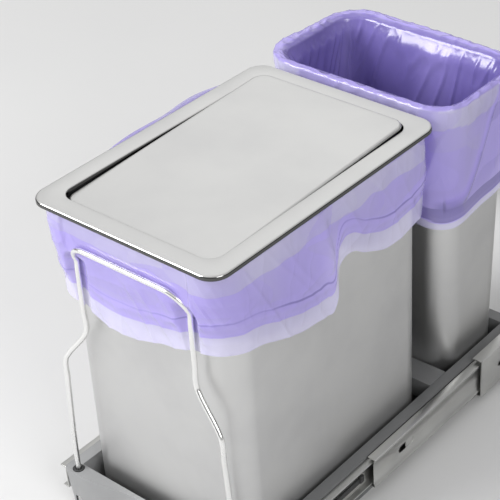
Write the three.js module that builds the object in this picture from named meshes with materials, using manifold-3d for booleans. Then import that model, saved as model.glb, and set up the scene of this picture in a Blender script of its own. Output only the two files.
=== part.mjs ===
// Pull-out twin waste bin unit for a kitchen cabinet.
// Millimetres, +Z up, -Y is the front that is pulled, +X the right-hand side seen from the front.
// The unit stands pulled out by EXTENSION, the two slides halfway along their travel.
import * as THREE from 'three';
import Module from 'manifold-3d';
import { mergeVertices } from 'three/addons/utils/BufferGeometryUtils.js';

const wasm = await Module();
wasm.setup();

// ---------------------------------------------------------------- driving dimensions
const GAP = 0.3; // air left between pieces that touch

const FRAME_TOP = 47; // height of the sliding frame's flat top over the base pan's underside
const FRAME_BOTTOM = 2;
const FRAME_HALF = 110.3; // outer half width of the frame
const POCKET_HALF = 98.3; // half width of the two pockets that the bins stand in
const FRAME_FRONT = -153;
const FRAME_REAR = 293;
const POCKET_FRONT = -139;
const CROSSBAR = { front: 149.5, rear: 176.8 };
const REAR_BEAM_FRONT = 279;
const SHEET = 1.5; // frame sheet steel

const LID_TOP = 347;
const LID = { halfX: 105, halfY: 150.3, radius: 18, border: 19.5, edge: 5.2, sheet: 0.9 };
const PANEL_GAP = 1.2; // slit between the lid opening and the swing panel
const PIVOT_Z = 339.8; // height of the swing panel's pivot axis
const PIN_R = 2.1;
const BUSH_R = 4.3;
const PANEL_TILT = 2; // degrees that the swing panel rests off level, its rear end up

const FRONT_BIN = { halfX: 96.4, front: -130, rear: 138.4, radius: 27, top: 341 };
const REAR_BIN = { front: 168, rear: 285, radius: 27, top: 346.5, halfX: 99.2 };
const BIN_WALL = 1.2;
const BIN_FOOT = 1.8; // underside of the bins
const FILM = 0.8; // liner film with its folds, as a body

const SLIDE_Z = 31.5; // centre line of the slides
const SLIDE_LENGTH = 446;
const SLIDE_STEEL = 1.2;
const DRAWER_MEMBER = { web: 110.6, lip: 118, half: 13, front: -150 };
const MIDDLE_MEMBER = { web: 119.9, lip: 112.6, half: 17.5 };
const CABINET_MEMBER = { web: 122.7, lip: 112.6, half: 22.5 };
const CAGE = { length: 130, sheet: 0.7, innerStart: 140, outerStart: 130 }; // starts with the unit shut
const EXTENSION = 353;

const WIRE_R = 2.5;
const WIRE = { footX: 97.4, gripX: 64.6, footY: -145.5, gripY: -140, topY: -148.3 };
const WIRE_Z = { foot: 8, bendLow: 149, bendHigh: 229, top: 314.4, corner: 20 };

// ---------------------------------------------------------------- finishes
function finish(colour, roughness, metalness) {
  return () => new THREE.MeshStandardMaterial({ color: colour, roughness, metalness });
}
const satinSteel = finish(0xd9d9d6, 0.32, 1);
const binSteel = finish(0xb4b4b2, 0.42, 0.8);
const brightWire = finish(0xe4e4e2, 0.12, 1);
const framePaint = finish(0xa9aaab, 0.55, 0);
const zincSteel = finish(0xb9b9b4, 0.38, 0.9);
const darkPlastic = finish(0x2b2b2c, 0.6, 0);
const greyPlastic = finish(0x8d8f91, 0.55, 0);
const linerFilm = finish(0xb6a4e2, 0.3, 0);
const castIron = finish(0x55534f, 0.6, 0.7);

const unit = new THREE.Group();
unit.position.y = -(FRAME_FRONT + cabinetFront() + SLIDE_LENGTH) / 2;

function add(name, geometry, material) {
  const mesh = new THREE.Mesh(geometry, material());
  mesh.name = name;
  unit.add(mesh);
  return mesh;
}

// Left and right copies of a piece that is drawn on the right-hand side.
function addPair(name, makeGeometry, material) {
  add(`${name}_right`, makeGeometry(), material);
  add(`${name}_left`, mirrored(makeGeometry()), material);
}

// ---------------------------------------------------------------- solids
function asSolid(geometry) {
  const bare = geometry.clone();
  bare.deleteAttribute('normal');
  bare.deleteAttribute('uv');
  const merged = mergeVertices(bare, 1e-4);
  return new wasm.Manifold(new wasm.Mesh({
    numProp: 3,
    vertProperties: new Float32Array(merged.attributes.position.array),
    triVerts: new Uint32Array(merged.index.array),
  }));
}

function asGeometry(solid) {
  const mesh = solid.getMesh();
  const geometry = new THREE.BufferGeometry();
  geometry.setAttribute('position', new THREE.BufferAttribute(mesh.vertProperties, 3));
  geometry.setIndex(new THREE.BufferAttribute(mesh.triVerts, 1));
  return geometry;
}

function cut(geometry, cutters) {
  return asGeometry(cutters.reduce((solid, tool) => solid.subtract(asSolid(tool)), asSolid(geometry)));
}

function join(geometries) {
  const solids = geometries.map(asSolid);
  return asGeometry(solids.slice(1).reduce((sum, solid) => sum.add(solid), solids[0]));
}

function mirrored(geometry) {
  const flat = geometry.index ? geometry.toNonIndexed() : geometry.clone();
  flat.deleteAttribute('normal');
  flat.deleteAttribute('uv');
  const p = flat.attributes.position;
  for (let i = 0; i < p.count; i += 3) {
    const [bx, by, bz] = [p.getX(i + 1), p.getY(i + 1), p.getZ(i + 1)];
    p.setXYZ(i, -p.getX(i), p.getY(i), p.getZ(i));
    p.setXYZ(i + 1, -p.getX(i + 2), p.getY(i + 2), p.getZ(i + 2));
    p.setXYZ(i + 2, -bx, by, bz);
  }
  return flat;
}

function block(x0, x1, y0, y1, z0, z1) {
  const geometry = new THREE.BoxGeometry(x1 - x0, y1 - y0, z1 - z0);
  geometry.translate((x0 + x1) / 2, (y0 + y1) / 2, (z0 + z1) / 2);
  return geometry;
}

function rodZ(radius, x, y, z0, z1, sides = 16) {
  const geometry = new THREE.CylinderGeometry(radius, radius, z1 - z0, sides);
  geometry.rotateX(Math.PI / 2);
  geometry.translate(x, y, (z0 + z1) / 2);
  return geometry;
}

function rodX(radius, x0, x1, y, z, sides = 16) {
  const geometry = new THREE.CylinderGeometry(radius, radius, x1 - x0, sides);
  geometry.rotateZ(Math.PI / 2);
  geometry.translate((x0 + x1) / 2, y, z);
  return geometry;
}

// A section drawn in the x-z plane, carried along Y.
function barAlongY(section, y0, y1) {
  const shape = new THREE.Shape(section.map(([x, z]) => new THREE.Vector2(x, z)));
  const geometry = new THREE.ExtrudeGeometry(shape, { depth: y1 - y0, bevelEnabled: false });
  geometry.rotateX(Math.PI / 2);
  geometry.translate(0, y1, 0);
  return geometry;
}

// A section drawn in the y-z plane, carried along X between -halfLength and halfLength.
function barAlongX(section, halfLength) {
  const geometry = barAlongY(section, -halfLength, halfLength);
  return geometry.rotateZ(Math.PI / 2);
}

// A level ring of points round a rectangle with round corners, anticlockwise from above.
function roundedRing(halfX, y0, y1, radius, z, steps = 5) {
  const points = [];
  const corners = [[1, 1, 0], [-1, 1, 1], [-1, -1, 2], [1, -1, 3]];
  for (const [sx, sy, quarter] of corners) {
    const cx = sx * (halfX - radius);
    const cy = sy > 0 ? y1 - radius : y0 + radius;
    for (let i = 0; i <= steps; i++) {
      const turn = (quarter + i / steps) * Math.PI / 2;
      points.push(new THREE.Vector3(cx + radius * Math.cos(turn), cy + radius * Math.sin(turn), z));
    }
  }
  return points;
}

// Skins a stack of level rings. A closed stack joins its last ring to its first, as a hoop does;
// an open one is capped on its first ring, facing down, and on its last ring, facing up.
function skin(rings, closed = false) {
  const count = rings[0].length;
  const positions = rings.flat().flatMap((p) => [p.x, p.y, p.z]);
  const index = [];
  const stretches = closed ? rings.length : rings.length - 1;
  for (let r = 0; r < stretches; r++) {
    const low = r * count;
    const high = ((r + 1) % rings.length) * count;
    for (let i = 0; i < count; i++) {
      const j = (i + 1) % count;
      index.push(low + i, low + j, high + j, low + i, high + j, high + i);
    }
  }
  if (!closed) {
    const cap = (ring) => THREE.ShapeUtils.triangulateShape(ring.map((p) => new THREE.Vector2(p.x, p.y)), []);
    const last = (rings.length - 1) * count;
    for (const [a, b, c] of cap(rings[0])) index.push(a, c, b);
    for (const [a, b, c] of cap(rings[rings.length - 1])) index.push(last + a, last + b, last + c);
  }
  const geometry = new THREE.BufferGeometry();
  geometry.setAttribute('position', new THREE.Float32BufferAttribute(positions, 3));
  geometry.setIndex(index);
  return geometry;
}

// ---------------------------------------------------------------- slides
function cabinetFront() {
  return DRAWER_MEMBER.front + EXTENSION;
}

// A C-shaped slide member: a web and two flanges that reach to the lip.
function channel(web, lip, half, y0) {
  const outward = lip > web ? 1 : -1;
  const back = outward > 0 ? web : web + SLIDE_STEEL;
  const floor = back + outward * SLIDE_STEEL;
  const [top, low] = [SLIDE_Z + half, SLIDE_Z - half];
  const section = [
    [back, low], [lip, low], [lip, low + SLIDE_STEEL], [floor, low + SLIDE_STEEL],
    [floor, top - SLIDE_STEEL], [lip, top - SLIDE_STEEL], [lip, top], [back, top],
  ];
  return barAlongY(outward > 0 ? section : section.reverse(), y0, y0 + SLIDE_LENGTH);
}

const screwPlaces = { front: -60, rear: 240 };

function drawerMember() {
  const { web, lip, half, front } = DRAWER_MEMBER;
  const holes = Object.values(screwPlaces).map((y) => rodX(2.3, web - 1, web + 3, y, SLIDE_Z));
  return cut(channel(web, lip, half, front), holes);
}

function middleMember() {
  const { web, lip, half } = MIDDLE_MEMBER;
  const front = DRAWER_MEMBER.front + EXTENSION / 2;
  const slots = [52, 330].map((along) => slotX(web - 1, web + 3, front + along, SLIDE_Z, 12, 4));
  return cut(channel(web, lip, half, front), slots);
}

function cabinetMember() {
  const { web, lip, half } = CABINET_MEMBER;
  const places = [37, 197, 357].map((along) => cabinetFront() + along);
  const slots = places.map((y) => slotX(web - 1, web + 3, y, SLIDE_Z, 6, 3));
  return cut(channel(web, lip, half, cabinetFront()), slots);
}

// A cutter for a slot with round ends, through a web from x0 to x1.
function slotX(x0, x1, y, z, halfLength, radius) {
  const shape = new THREE.Shape();
  shape.absarc(y + halfLength - radius, z, radius, -Math.PI / 2, Math.PI / 2, false);
  shape.absarc(y - halfLength + radius, z, radius, Math.PI / 2, 3 * Math.PI / 2, false);
  const geometry = new THREE.ExtrudeGeometry(shape, { depth: x1 - x0, bevelEnabled: false, curveSegments: 6 });
  // local x runs along Y, local y along Z and the depth along X
  geometry.applyMatrix4(new THREE.Matrix4().set(0, 0, 1, x0, 1, 0, 0, 0, 0, 1, 0, 0, 0, 0, 0, 1));
  return geometry;
}

// The strip that spaces the balls of one race: a thin channel with the balls held in its flanges.
function ballCage(webX, lipX, middle, ballR, y0) {
  const { length, sheet } = CAGE;
  const [outer, inner] = [middle + sheet / 2, middle - sheet / 2];
  const strip = barAlongY([
    [webX + sheet, SLIDE_Z - outer], [webX + sheet, SLIDE_Z + outer], [lipX, SLIDE_Z + outer],
    [lipX, SLIDE_Z + inner], [webX, SLIDE_Z + inner], [webX, SLIDE_Z - inner],
    [lipX, SLIDE_Z - inner], [lipX, SLIDE_Z - outer],
  ], y0, y0 + length);
  const balls = [];
  for (let k = 0; k < 5; k++) {
    for (const side of [-1, 1]) {
      const ball = new THREE.SphereGeometry(ballR, 6, 4);
      ball.rotateX(Math.PI / 2);
      ball.translate((webX + lipX) / 2, y0 + 9 + k * (length - 18) / 4, SLIDE_Z + side * middle);
      balls.push(ball);
    }
  }
  return join([strip, ...balls]);
}

// A cage travels half as far as the two members it runs between.
function innerCage() {
  const y0 = cabinetFront() + CAGE.innerStart - 0.75 * EXTENSION;
  return ballCage(118.6, 113.2, 14.65, 1.5, y0);
}

function outerCage() {
  const y0 = cabinetFront() + CAGE.outerStart - 0.25 * EXTENSION;
  return ballCage(121.5, 113.2, 19.4, 1.7, y0);
}

const LEVER_PIVOT = { y: -28, radius: 2 };

// Plastic lever that frees the frame from the slide: a blade on a pin, with a finger pad at its front.
function releaseLever() {
  const { y, radius } = LEVER_PIVOT;
  const blade = barAlongY([[113.4, -3], [115.4, -3], [115.4, 3], [113.4, 3]], y - 6, y + 44);
  blade.translate(0, 0, SLIDE_Z);
  const pad = block(113.4, 117.4, y - 12, y - 4, SLIDE_Z - 4.5, SLIDE_Z + 4.5);
  const hook = block(113.4, 116.6, y + 38, y + 43.6, SLIDE_Z - 2.5, SLIDE_Z + 5);
  const pin = rodX(radius, 112.1, 114, y, SLIDE_Z, 12);
  return join([blade, pad, hook, pin]);
}

// A pan-head screw along X, its head inside the drawer member and its end behind the rail's wall.
function memberScrew(y) {
  const head = DRAWER_MEMBER.web + SLIDE_STEEL + GAP;
  return join([
    rodX(1.9, head - 6.5, head + 0.5, y, SLIDE_Z, 12),
    rodX(3.6, head, head + 1.6, y, SLIDE_Z, 12),
  ]);
}

addPair('cabinet_member', cabinetMember, zincSteel);
addPair('outer_ball_cage', outerCage, zincSteel);
addPair('middle_member', middleMember, zincSteel);
addPair('inner_ball_cage', innerCage, zincSteel);
addPair('drawer_member', drawerMember, zincSteel);
addPair('release_lever', releaseLever, darkPlastic);
for (const [place, y] of Object.entries(screwPlaces)) addPair(`member_screw_${place}`, () => memberScrew(y), zincSteel);

// ---------------------------------------------------------------- sliding frame
const FRONT_BEAM_REAR = -100;
const panScrewPlaces = { front: -60, rear: 220 };
const PAN_SCREW_X = 103;

// Top-view outline of the front moulding: two corner blocks joined by a beam that is hollowed
// in front, so that a hand can reach the wire. inset draws the outer faces in for the draft.
function frontBeamRing(z, inset) {
  const points = [];
  const side = FRAME_HALF - inset;
  const front = FRAME_FRONT + inset;
  const put = (x, y) => points.push(new THREE.Vector3(x, y, z));
  put(side, FRONT_BEAM_REAR);
  put(POCKET_HALF, FRONT_BEAM_REAR);
  put(POCKET_HALF, POCKET_FRONT);
  put(-POCKET_HALF, POCKET_FRONT);
  put(-POCKET_HALF, FRONT_BEAM_REAR);
  put(-side, FRONT_BEAM_REAR);
  for (let i = 0; i <= 4; i++) {
    const turn = Math.PI + (i / 4) * Math.PI / 2;
    put(-side + 5 + 5 * Math.cos(turn), front + 5 + 5 * Math.sin(turn));
  }
  const hollow = (x) => {
    const t = THREE.MathUtils.smoothstep(Math.abs(x), 25, 92);
    return FRAME_FRONT + 9.5 + (inset - 9.5) * t;
  };
  for (let i = 0; i <= 16; i++) put(-92 + i * 11.5, hollow(-92 + i * 11.5));
  for (let i = 0; i <= 4; i++) {
    const turn = 1.5 * Math.PI + (i / 4) * Math.PI / 2;
    put(side - 5 + 5 * Math.cos(turn), front + 5 + 5 * Math.sin(turn));
  }
  return points;
}

function frontBeam() {
  const body = skin([frontBeamRing(FRAME_BOTTOM, 3), frontBeamRing(FRAME_TOP, 0)]);
  const { footX, footY } = WIRE;
  const wells = [-footX, footX].flatMap((x) => [
    rodZ(WIRE_R + 0.5, x, footY, 5, FRAME_TOP + 1, 12),
    rodZ(5.8, x, footY, FRAME_TOP - 4.5, FRAME_TOP + 1, 16),
    rodZ(6.6, x, footY, FRAME_BOTTOM - 1, 15, 16),
  ]);
  return cut(body, wells);
}

// A folded channel, open towards the bins, that carries the slide on its outer wall.
function sideRail() {
  const [inner, outer, low, top] = [POCKET_HALF, FRAME_HALF, FRAME_BOTTOM, FRAME_TOP];
  const rail = barAlongY([
    [inner, low], [outer, low], [outer, top], [inner, top], [inner, top - SHEET - 3],
    [inner + SHEET, top - SHEET - 3], [inner + SHEET, top - SHEET], [outer - SHEET, top - SHEET],
    [outer - SHEET, low + SHEET], [inner, low + SHEET],
  ], FRONT_BEAM_REAR + GAP, REAR_BEAM_FRONT - GAP);
  const holes = [
    ...Object.values(screwPlaces).map((y) => rodX(2.3, outer - 3, outer + 1, y, SLIDE_Z, 12)),
    ...Object.values(panScrewPlaces).map((y) => rodZ(2.2, PAN_SCREW_X, y, low - 1, low + 3, 12)),
  ];
  return cut(rail, holes);
}

// A folded channel, open underneath, between the two pockets.
function crossbar() {
  const [low, top] = [FRAME_TOP - 22, FRAME_TOP];
  const { front, rear } = CROSSBAR;
  return barAlongX([
    [front, low], [front + SHEET, low], [front + SHEET, top - SHEET], [rear - SHEET, top - SHEET],
    [rear - SHEET, low], [rear, low], [rear, top], [front, top],
  ], POCKET_HALF - GAP);
}

function rearBeam() {
  const [front, rear, low, top] = [REAR_BEAM_FRONT, FRAME_REAR, FRAME_BOTTOM, FRAME_TOP];
  return barAlongX([
    [front, low], [rear, low], [rear, low + SHEET], [front + SHEET, low + SHEET],
    [front + SHEET, top - SHEET], [rear, top - SHEET], [rear, top], [front, top],
  ], FRAME_HALF);
}

function basePan() {
  const plate = block(-109, 109, POCKET_FRONT, FRAME_REAR - 1, 0, FRAME_BOTTOM - 0.5);
  const wells = Object.values(panScrewPlaces).flatMap((y) => [-PAN_SCREW_X, PAN_SCREW_X].map(
    (x) => rodZ(3.7, x, y, -1, 3, 12),
  ));
  return cut(plate, wells);
}

// A flush-headed screw up through the base pan into the rail's lower fold.
function panScrew(y) {
  return join([
    rodZ(3.3, PAN_SCREW_X, y, 0.2, 1.6, 12),
    rodZ(1.8, PAN_SCREW_X, y, 1.2, 7, 12),
  ]);
}

// Half of the wire's centre line, from its foot to the middle of the top bar.
function wireHalf(side) {
  const { footX, gripX, footY, gripY, topY } = WIRE;
  const { foot, bendLow, bendHigh, top, corner } = WIRE_Z;
  const points = [[footX, footY, foot], [footX, footY, 60], [footX, footY + 0.5, 110]];
  for (let i = 0; i <= 8; i++) {
    const t = i / 8;
    const ease = t * t * (3 - 2 * t);
    points.push([footX + (gripX - footX) * ease, footY + 1 + (gripY - footY - 1) * t, bendLow + (bendHigh - bendLow) * t]);
  }
  points.push([gripX, gripY, 262], [gripX, gripY, 285]);
  for (let i = 0; i <= 6; i++) {
    const turn = (i / 6) * Math.PI / 2;
    const lean = gripY + (topY - gripY) * Math.sin(turn);
    points.push([gripX - corner + corner * Math.cos(turn), lean, top - corner + corner * Math.sin(turn)]);
  }
  points.push([20, topY, top]);
  return points.map(([x, y, z]) => new THREE.Vector3(side * x, y, z));
}

function wireHandle() {
  const route = new THREE.CatmullRomCurve3([...wireHalf(-1), ...wireHalf(1).reverse()], false, 'centripetal');
  const section = new THREE.Shape();
  section.absarc(0, 0, WIRE_R, 0, 2 * Math.PI, false);
  return new THREE.ExtrudeGeometry(section, { steps: 90, curveSegments: 4, extrudePath: route });
}

function handleGrommet() {
  const { footX, footY } = WIRE;
  return cut(rodZ(5.4, footX, footY, FRAME_TOP - 4.2, FRAME_TOP + 0.8, 16), [
    rodZ(WIRE_R + 0.4, footX, footY, 0, FRAME_TOP + 2, 12),
  ]);
}

function handleNut() {
  const { footX, footY } = WIRE;
  return cut(rodZ(5.6, footX, footY, 9, 14.6, 6), [rodZ(WIRE_R + 0.4, footX, footY, 0, 20, 12)]);
}

add('front_beam', frontBeam(), framePaint);
addPair('side_rail', sideRail, framePaint);
add('crossbar', crossbar(), framePaint);
add('rear_beam', rearBeam(), framePaint);
add('base_pan', basePan(), zincSteel);
for (const [place, y] of Object.entries(panScrewPlaces)) addPair(`pan_screw_${place}`, () => panScrew(y), zincSteel);
add('wire_handle', wireHandle(), brightWire);
addPair('handle_grommet', handleGrommet, darkPlastic);
addPair('handle_nut', handleNut, zincSteel);

// ---------------------------------------------------------------- bins and liners
// The front bin widens near its top into a collar that takes the lid.
function frontBin() {
  const { halfX, front, rear, radius, top } = FRONT_BIN;
  const wall = BIN_WALL;
  const collar = { halfX: 98, front: -140, rear: 140, low: 300, high: 310 };
  const ring = roundedRing;
  return skin([
    ring(halfX - 6, front + 6, rear - 6, radius - 4, BIN_FOOT),
    ring(halfX, front, rear, radius, BIN_FOOT + 6),
    ring(halfX, front, rear, radius, collar.low),
    ring(collar.halfX, collar.front, collar.rear, radius, collar.high),
    ring(collar.halfX, collar.front, collar.rear, radius, top - 4),
    ring(102, -145, 145, radius, top - 4),
    ring(102, -145, 145, radius, top),
    ring(collar.halfX - wall, collar.front + wall, collar.rear - wall, radius - wall, top),
    ring(collar.halfX - wall, collar.front + wall, collar.rear - wall, radius - wall, collar.high),
    ring(halfX - wall, front + wall, rear - wall, radius - wall, collar.low),
    ring(halfX - wall, front + wall, rear - wall, radius - wall, BIN_FOOT + 6.5),
    ring(halfX - 6 - wall, front + 6 + wall, rear - 6 - wall, radius - 6, BIN_FOOT + wall),
  ]);
}

// The rear bin narrows towards its foot; wallRing gives its outer wall, drawn in by inset, at a height.
function rearWallRing(z, inset) {
  const { front, rear, radius, top, halfX } = REAR_BIN;
  const down = (top - z) / 100;
  const [endDraft, sideDraft] = [3.15 * down, 0.95 * down];
  return roundedRing(halfX - sideDraft - inset, front + endDraft + inset, rear - endDraft - inset, radius - inset, z);
}

function rearBin() {
  const { top } = REAR_BIN;
  const rim = (inset, z) => rearWallRing(top, inset).map((p) => p.setZ(z));
  return skin([
    rearWallRing(BIN_FOOT, 6), rearWallRing(BIN_FOOT + 6, 0), rearWallRing(top - 4, 0),
    rim(-5.5, top - 4), rim(-5.5, top), rim(BIN_WALL, top),
    rearWallRing(BIN_FOOT + 6.5, BIN_WALL), rearWallRing(BIN_FOOT + BIN_WALL, 6 + BIN_WALL),
  ]);
}

// A liner: film down the inside of the bin, over its rim and down outside as a skirt.
function frontLiner() {
  const { halfX, front, rear, radius, top } = FRONT_BIN;
  const ring = (x, y0, y1, z) => roundedRing(x, y0, y1, radius, z);
  const inside = GAP + BIN_WALL;
  return skin([
    ring(halfX - 8 - inside, front + 8 + inside, rear - 8 - inside, BIN_FOOT + BIN_WALL + GAP),
    ring(halfX - inside, front + inside, rear - inside, BIN_FOOT + 9),
    ring(halfX - inside, front + inside, rear - inside, 300),
    ring(98 - inside, -140 + inside, 140 - inside, 310),
    ring(98 - inside, -140 + inside, 140 - inside, top + GAP),
    ring(102.3, -145.3, 145.3, top + GAP),
    ring(102.3, -145.3, 145.3, 322),
    ring(101.8, -140.4, 143.8, 310),
    ring(101.2, -136.5, 143.2, 296),
    ring(99.5, -134.2, 141.5, 245),
    ring(99.5 + FILM, -134.2 - FILM, 141.5 + FILM, 245),
    ring(101.2 + FILM, -136.5 - FILM, 143.2 + FILM, 296),
    ring(101.8 + FILM, -140.4 - FILM, 143.8 + FILM, 310),
    ring(102.3 + FILM, -145.3 - FILM, 145.3 + FILM, 322),
    ring(102.3 + FILM, -145.3 - FILM, 145.3 + FILM, top + GAP + FILM),
    ring(98 - inside - FILM, -140 + inside + FILM, 140 - inside - FILM, top + GAP + FILM),
    ring(98 - inside - FILM, -140 + inside + FILM, 140 - inside - FILM, 309.5),
    ring(halfX - inside - FILM, front + inside + FILM, rear - inside - FILM, 299.5),
    ring(halfX - inside - FILM, front + inside + FILM, rear - inside - FILM, BIN_FOOT + 10),
    ring(halfX - 8.5 - inside, front + 8.5 + inside, rear - 8.5 - inside, BIN_FOOT + BIN_WALL + GAP + FILM),
  ]);
}

function rearLiner() {
  const { top } = REAR_BIN;
  const rim = (inset, z) => rearWallRing(top, inset).map((p) => p.setZ(z));
  const inside = BIN_WALL + GAP;
  return skin([
    rearWallRing(BIN_FOOT + BIN_WALL + GAP, 9 + inside),
    rearWallRing(BIN_FOOT + 9, inside),
    rim(inside, top + GAP), rim(-5.8, top + GAP), rim(-5.8, 300), rim(-4.5, 247),
    rim(-4.5 - FILM, 247), rim(-5.8 - FILM, 300), rim(-5.8 - FILM, top + GAP + FILM), rim(inside + FILM, top + GAP + FILM),
    rearWallRing(BIN_FOOT + 10, inside + FILM),
    rearWallRing(BIN_FOOT + BIN_WALL + GAP + FILM, 9.5 + inside),
  ]);
}

add('front_bin', frontBin(), binSteel);
add('front_liner', frontLiner(), linerFilm);
add('rear_bin', rearBin(), binSteel);
add('rear_liner', rearLiner(), linerFilm);

// ---------------------------------------------------------------- lid
const OPENING = { halfX: LID.halfX - LID.border, halfY: LID.halfY - LID.border, radius: 14 };

// Pressed steel border with a rolled outer edge and a turned-down lip round the opening.
function lidTrim() {
  const { halfX, halfY, radius, edge, sheet } = LID;
  const ring = (inset, z) => roundedRing(halfX - inset, -halfY + inset, halfY - inset, radius - inset, z);
  const lip = (grow, z) => roundedRing(
    OPENING.halfX + grow, -OPENING.halfY - grow, OPENING.halfY + grow, OPENING.radius + grow, z,
  );
  return skin([
    ring(0.6, LID_TOP - edge), ring(0, LID_TOP - edge + 1.5), ring(0, LID_TOP - 1.8), ring(0.6, LID_TOP - 0.5),
    ring(1.9, LID_TOP), lip(1.2, LID_TOP), lip(0.2, LID_TOP - 0.6), lip(0, LID_TOP - 4),
    lip(sheet, LID_TOP - 4), lip(sheet, LID_TOP - sheet - 1), lip(sheet + 1, LID_TOP - sheet),
    ring(2.4, LID_TOP - sheet),
    ring(1.2, LID_TOP - 2.2), ring(1.2, LID_TOP - edge),
  ], true);
}

const CARRIER = { halfX: 95, halfY: 136.4, radius: 24, low: 333, high: 344.8 };
const CARRIER_HOLE = { halfX: 86.8, halfY: 132.6, radius: 14 };

// Plastic ring under the border: it locates the lid in the bin's collar and holds the pivots.
function lidCarrier() {
  const { halfX, halfY, radius, low, high } = CARRIER;
  const hole = CARRIER_HOLE;
  const outer = (z, inset) => roundedRing(halfX - inset, -halfY + inset, halfY - inset, radius - inset, z);
  const inner = (z) => roundedRing(hole.halfX, -hole.halfY, hole.halfY, hole.radius, z);
  const ring = skin([outer(low, 1.5), outer(low + 3, 0), outer(high, 0), inner(high), inner(low)], true);
  const reach = CARRIER.halfX + 2;
  return cut(ring, [
    rodX(BUSH_R + 0.4, hole.halfX - 1, reach, 0, PIVOT_Z),
    rodX(BUSH_R + 0.4, -reach, -hole.halfX + 1, 0, PIVOT_Z),
  ]);
}

function pivotBush() {
  return cut(rodX(BUSH_R, CARRIER_HOLE.halfX + 0.1, CARRIER.halfX - 0.8, 0, PIVOT_Z), [
    rodX(PIN_R + 0.3, CARRIER_HOLE.halfX - 2, CARRIER.halfX - 2.4, 0, PIVOT_Z, 12),
  ]);
}

add('lid_trim', lidTrim(), satinSteel);
add('lid_carrier', lidCarrier(), darkPlastic);
addPair('pivot_bush', pivotBush, greyPlastic);

// ---------------------------------------------------------------- swing panel
const PANEL = { halfX: OPENING.halfX - PANEL_GAP, halfY: OPENING.halfY - PANEL_GAP, radius: 13, edge: 4.6, sheet: 0.8 };
const PANEL_TOP = LID_TOP - 0.3;

const panelGroup = new THREE.Group();
panelGroup.position.z = PIVOT_Z;
panelGroup.rotation.x = THREE.MathUtils.degToRad(PANEL_TILT);
unit.add(panelGroup);

// Panel pieces are drawn level at their place in the lid and hung on the pivot axis.
function hang(name, geometry, material) {
  geometry.translate(0, 0, -PIVOT_Z);
  const mesh = add(name, geometry, material);
  panelGroup.add(mesh);
}

function swingPanel() {
  const { halfX, halfY, radius, edge, sheet } = PANEL;
  const ring = (inset, z) => roundedRing(halfX - inset, -halfY + inset, halfY - inset, radius - inset, z);
  return skin([
    ring(0.8, PANEL_TOP - sheet), ring(0.8, PANEL_TOP - edge), ring(0, PANEL_TOP - edge),
    ring(0, PANEL_TOP - 1.4), ring(0.5, PANEL_TOP - 0.3), ring(1.4, PANEL_TOP),
  ]);
}

function panelBacking() {
  const { halfX, halfY, radius, sheet } = PANEL;
  const high = PANEL_TOP - sheet - GAP;
  const ring = (inset, z) => roundedRing(halfX - inset, -halfY + inset, halfY - inset, radius - 1, z, 3);
  const plate = skin([ring(1.6, high - 2), ring(1.6, high)]);
  const ribs = [-60, 60].map((x) => block(x - 1.2, x + 1.2, -118, 118, high - 8, high - 1));
  const bosses = [-1, 1].map((side) => block(side * 79 - 2.9, side * 79 + 2.9, -6, 6, PIVOT_Z - 6, high - 1));
  const holder = block(-70, 70, -9, 9, PIVOT_Z - 7.5, high - 1);
  const holes = [-1, 1].map((side) => rodX(PIN_R + 0.3, side * 79 - 4, side * 79 + 4, 0, PIVOT_Z, 12));
  const threads = [-45, 45].map((x) => rodZ(1.9, x, 0, PIVOT_Z - 9, PIVOT_Z - 3, 12));
  return cut(join([plate, ...ribs, ...bosses, holder]), [...holes, ...threads]);
}

function pivotPin() {
  return rodX(PIN_R, 75.5, CARRIER.halfX - 3, 0, PIVOT_Z, 12);
}

const WEIGHT = { halfX: 68, halfY: 8, high: PIVOT_Z - 8, low: PIVOT_Z - 19 };

function counterweight() {
  const { halfX, halfY, high, low } = WEIGHT;
  const bar = block(-halfX, halfX, -halfY, halfY, low, high);
  return cut(bar, [-45, 45].flatMap((x) => [
    rodZ(2.1, x, 0, low - 1, high + 1, 12), rodZ(4.2, x, 0, low - 1, low + 2.6, 12),
  ]));
}

function weightScrew(x) {
  const { low } = WEIGHT;
  return join([rodZ(1.6, x, 0, low + 1, PIVOT_Z - 4, 12), rodZ(3.6, x, 0, low + 0.2, low + 2.2, 12)]);
}

hang('swing_panel', swingPanel(), satinSteel);
hang('panel_backing', panelBacking(), darkPlastic);
hang('pivot_pin_right', pivotPin(), zincSteel);
hang('pivot_pin_left', mirrored(pivotPin()), zincSteel);
hang('counterweight', counterweight(), castIron);
hang('weight_screw_right', weightScrew(45), zincSteel);
hang('weight_screw_left', weightScrew(-45), zincSteel);

export default unit;
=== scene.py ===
"""Looks of a pull-out twin waste bin unit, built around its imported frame.

Metres, +Z up. -Y is the front that is pulled, +X the right-hand side seen from the front.
"""

import logging
import math
from dataclasses import dataclass, field, replace
from enum import Enum
from functools import cache
from typing import Sequence, Union

import bmesh
import bpy
from mathutils import Matrix, Vector, noise


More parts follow.
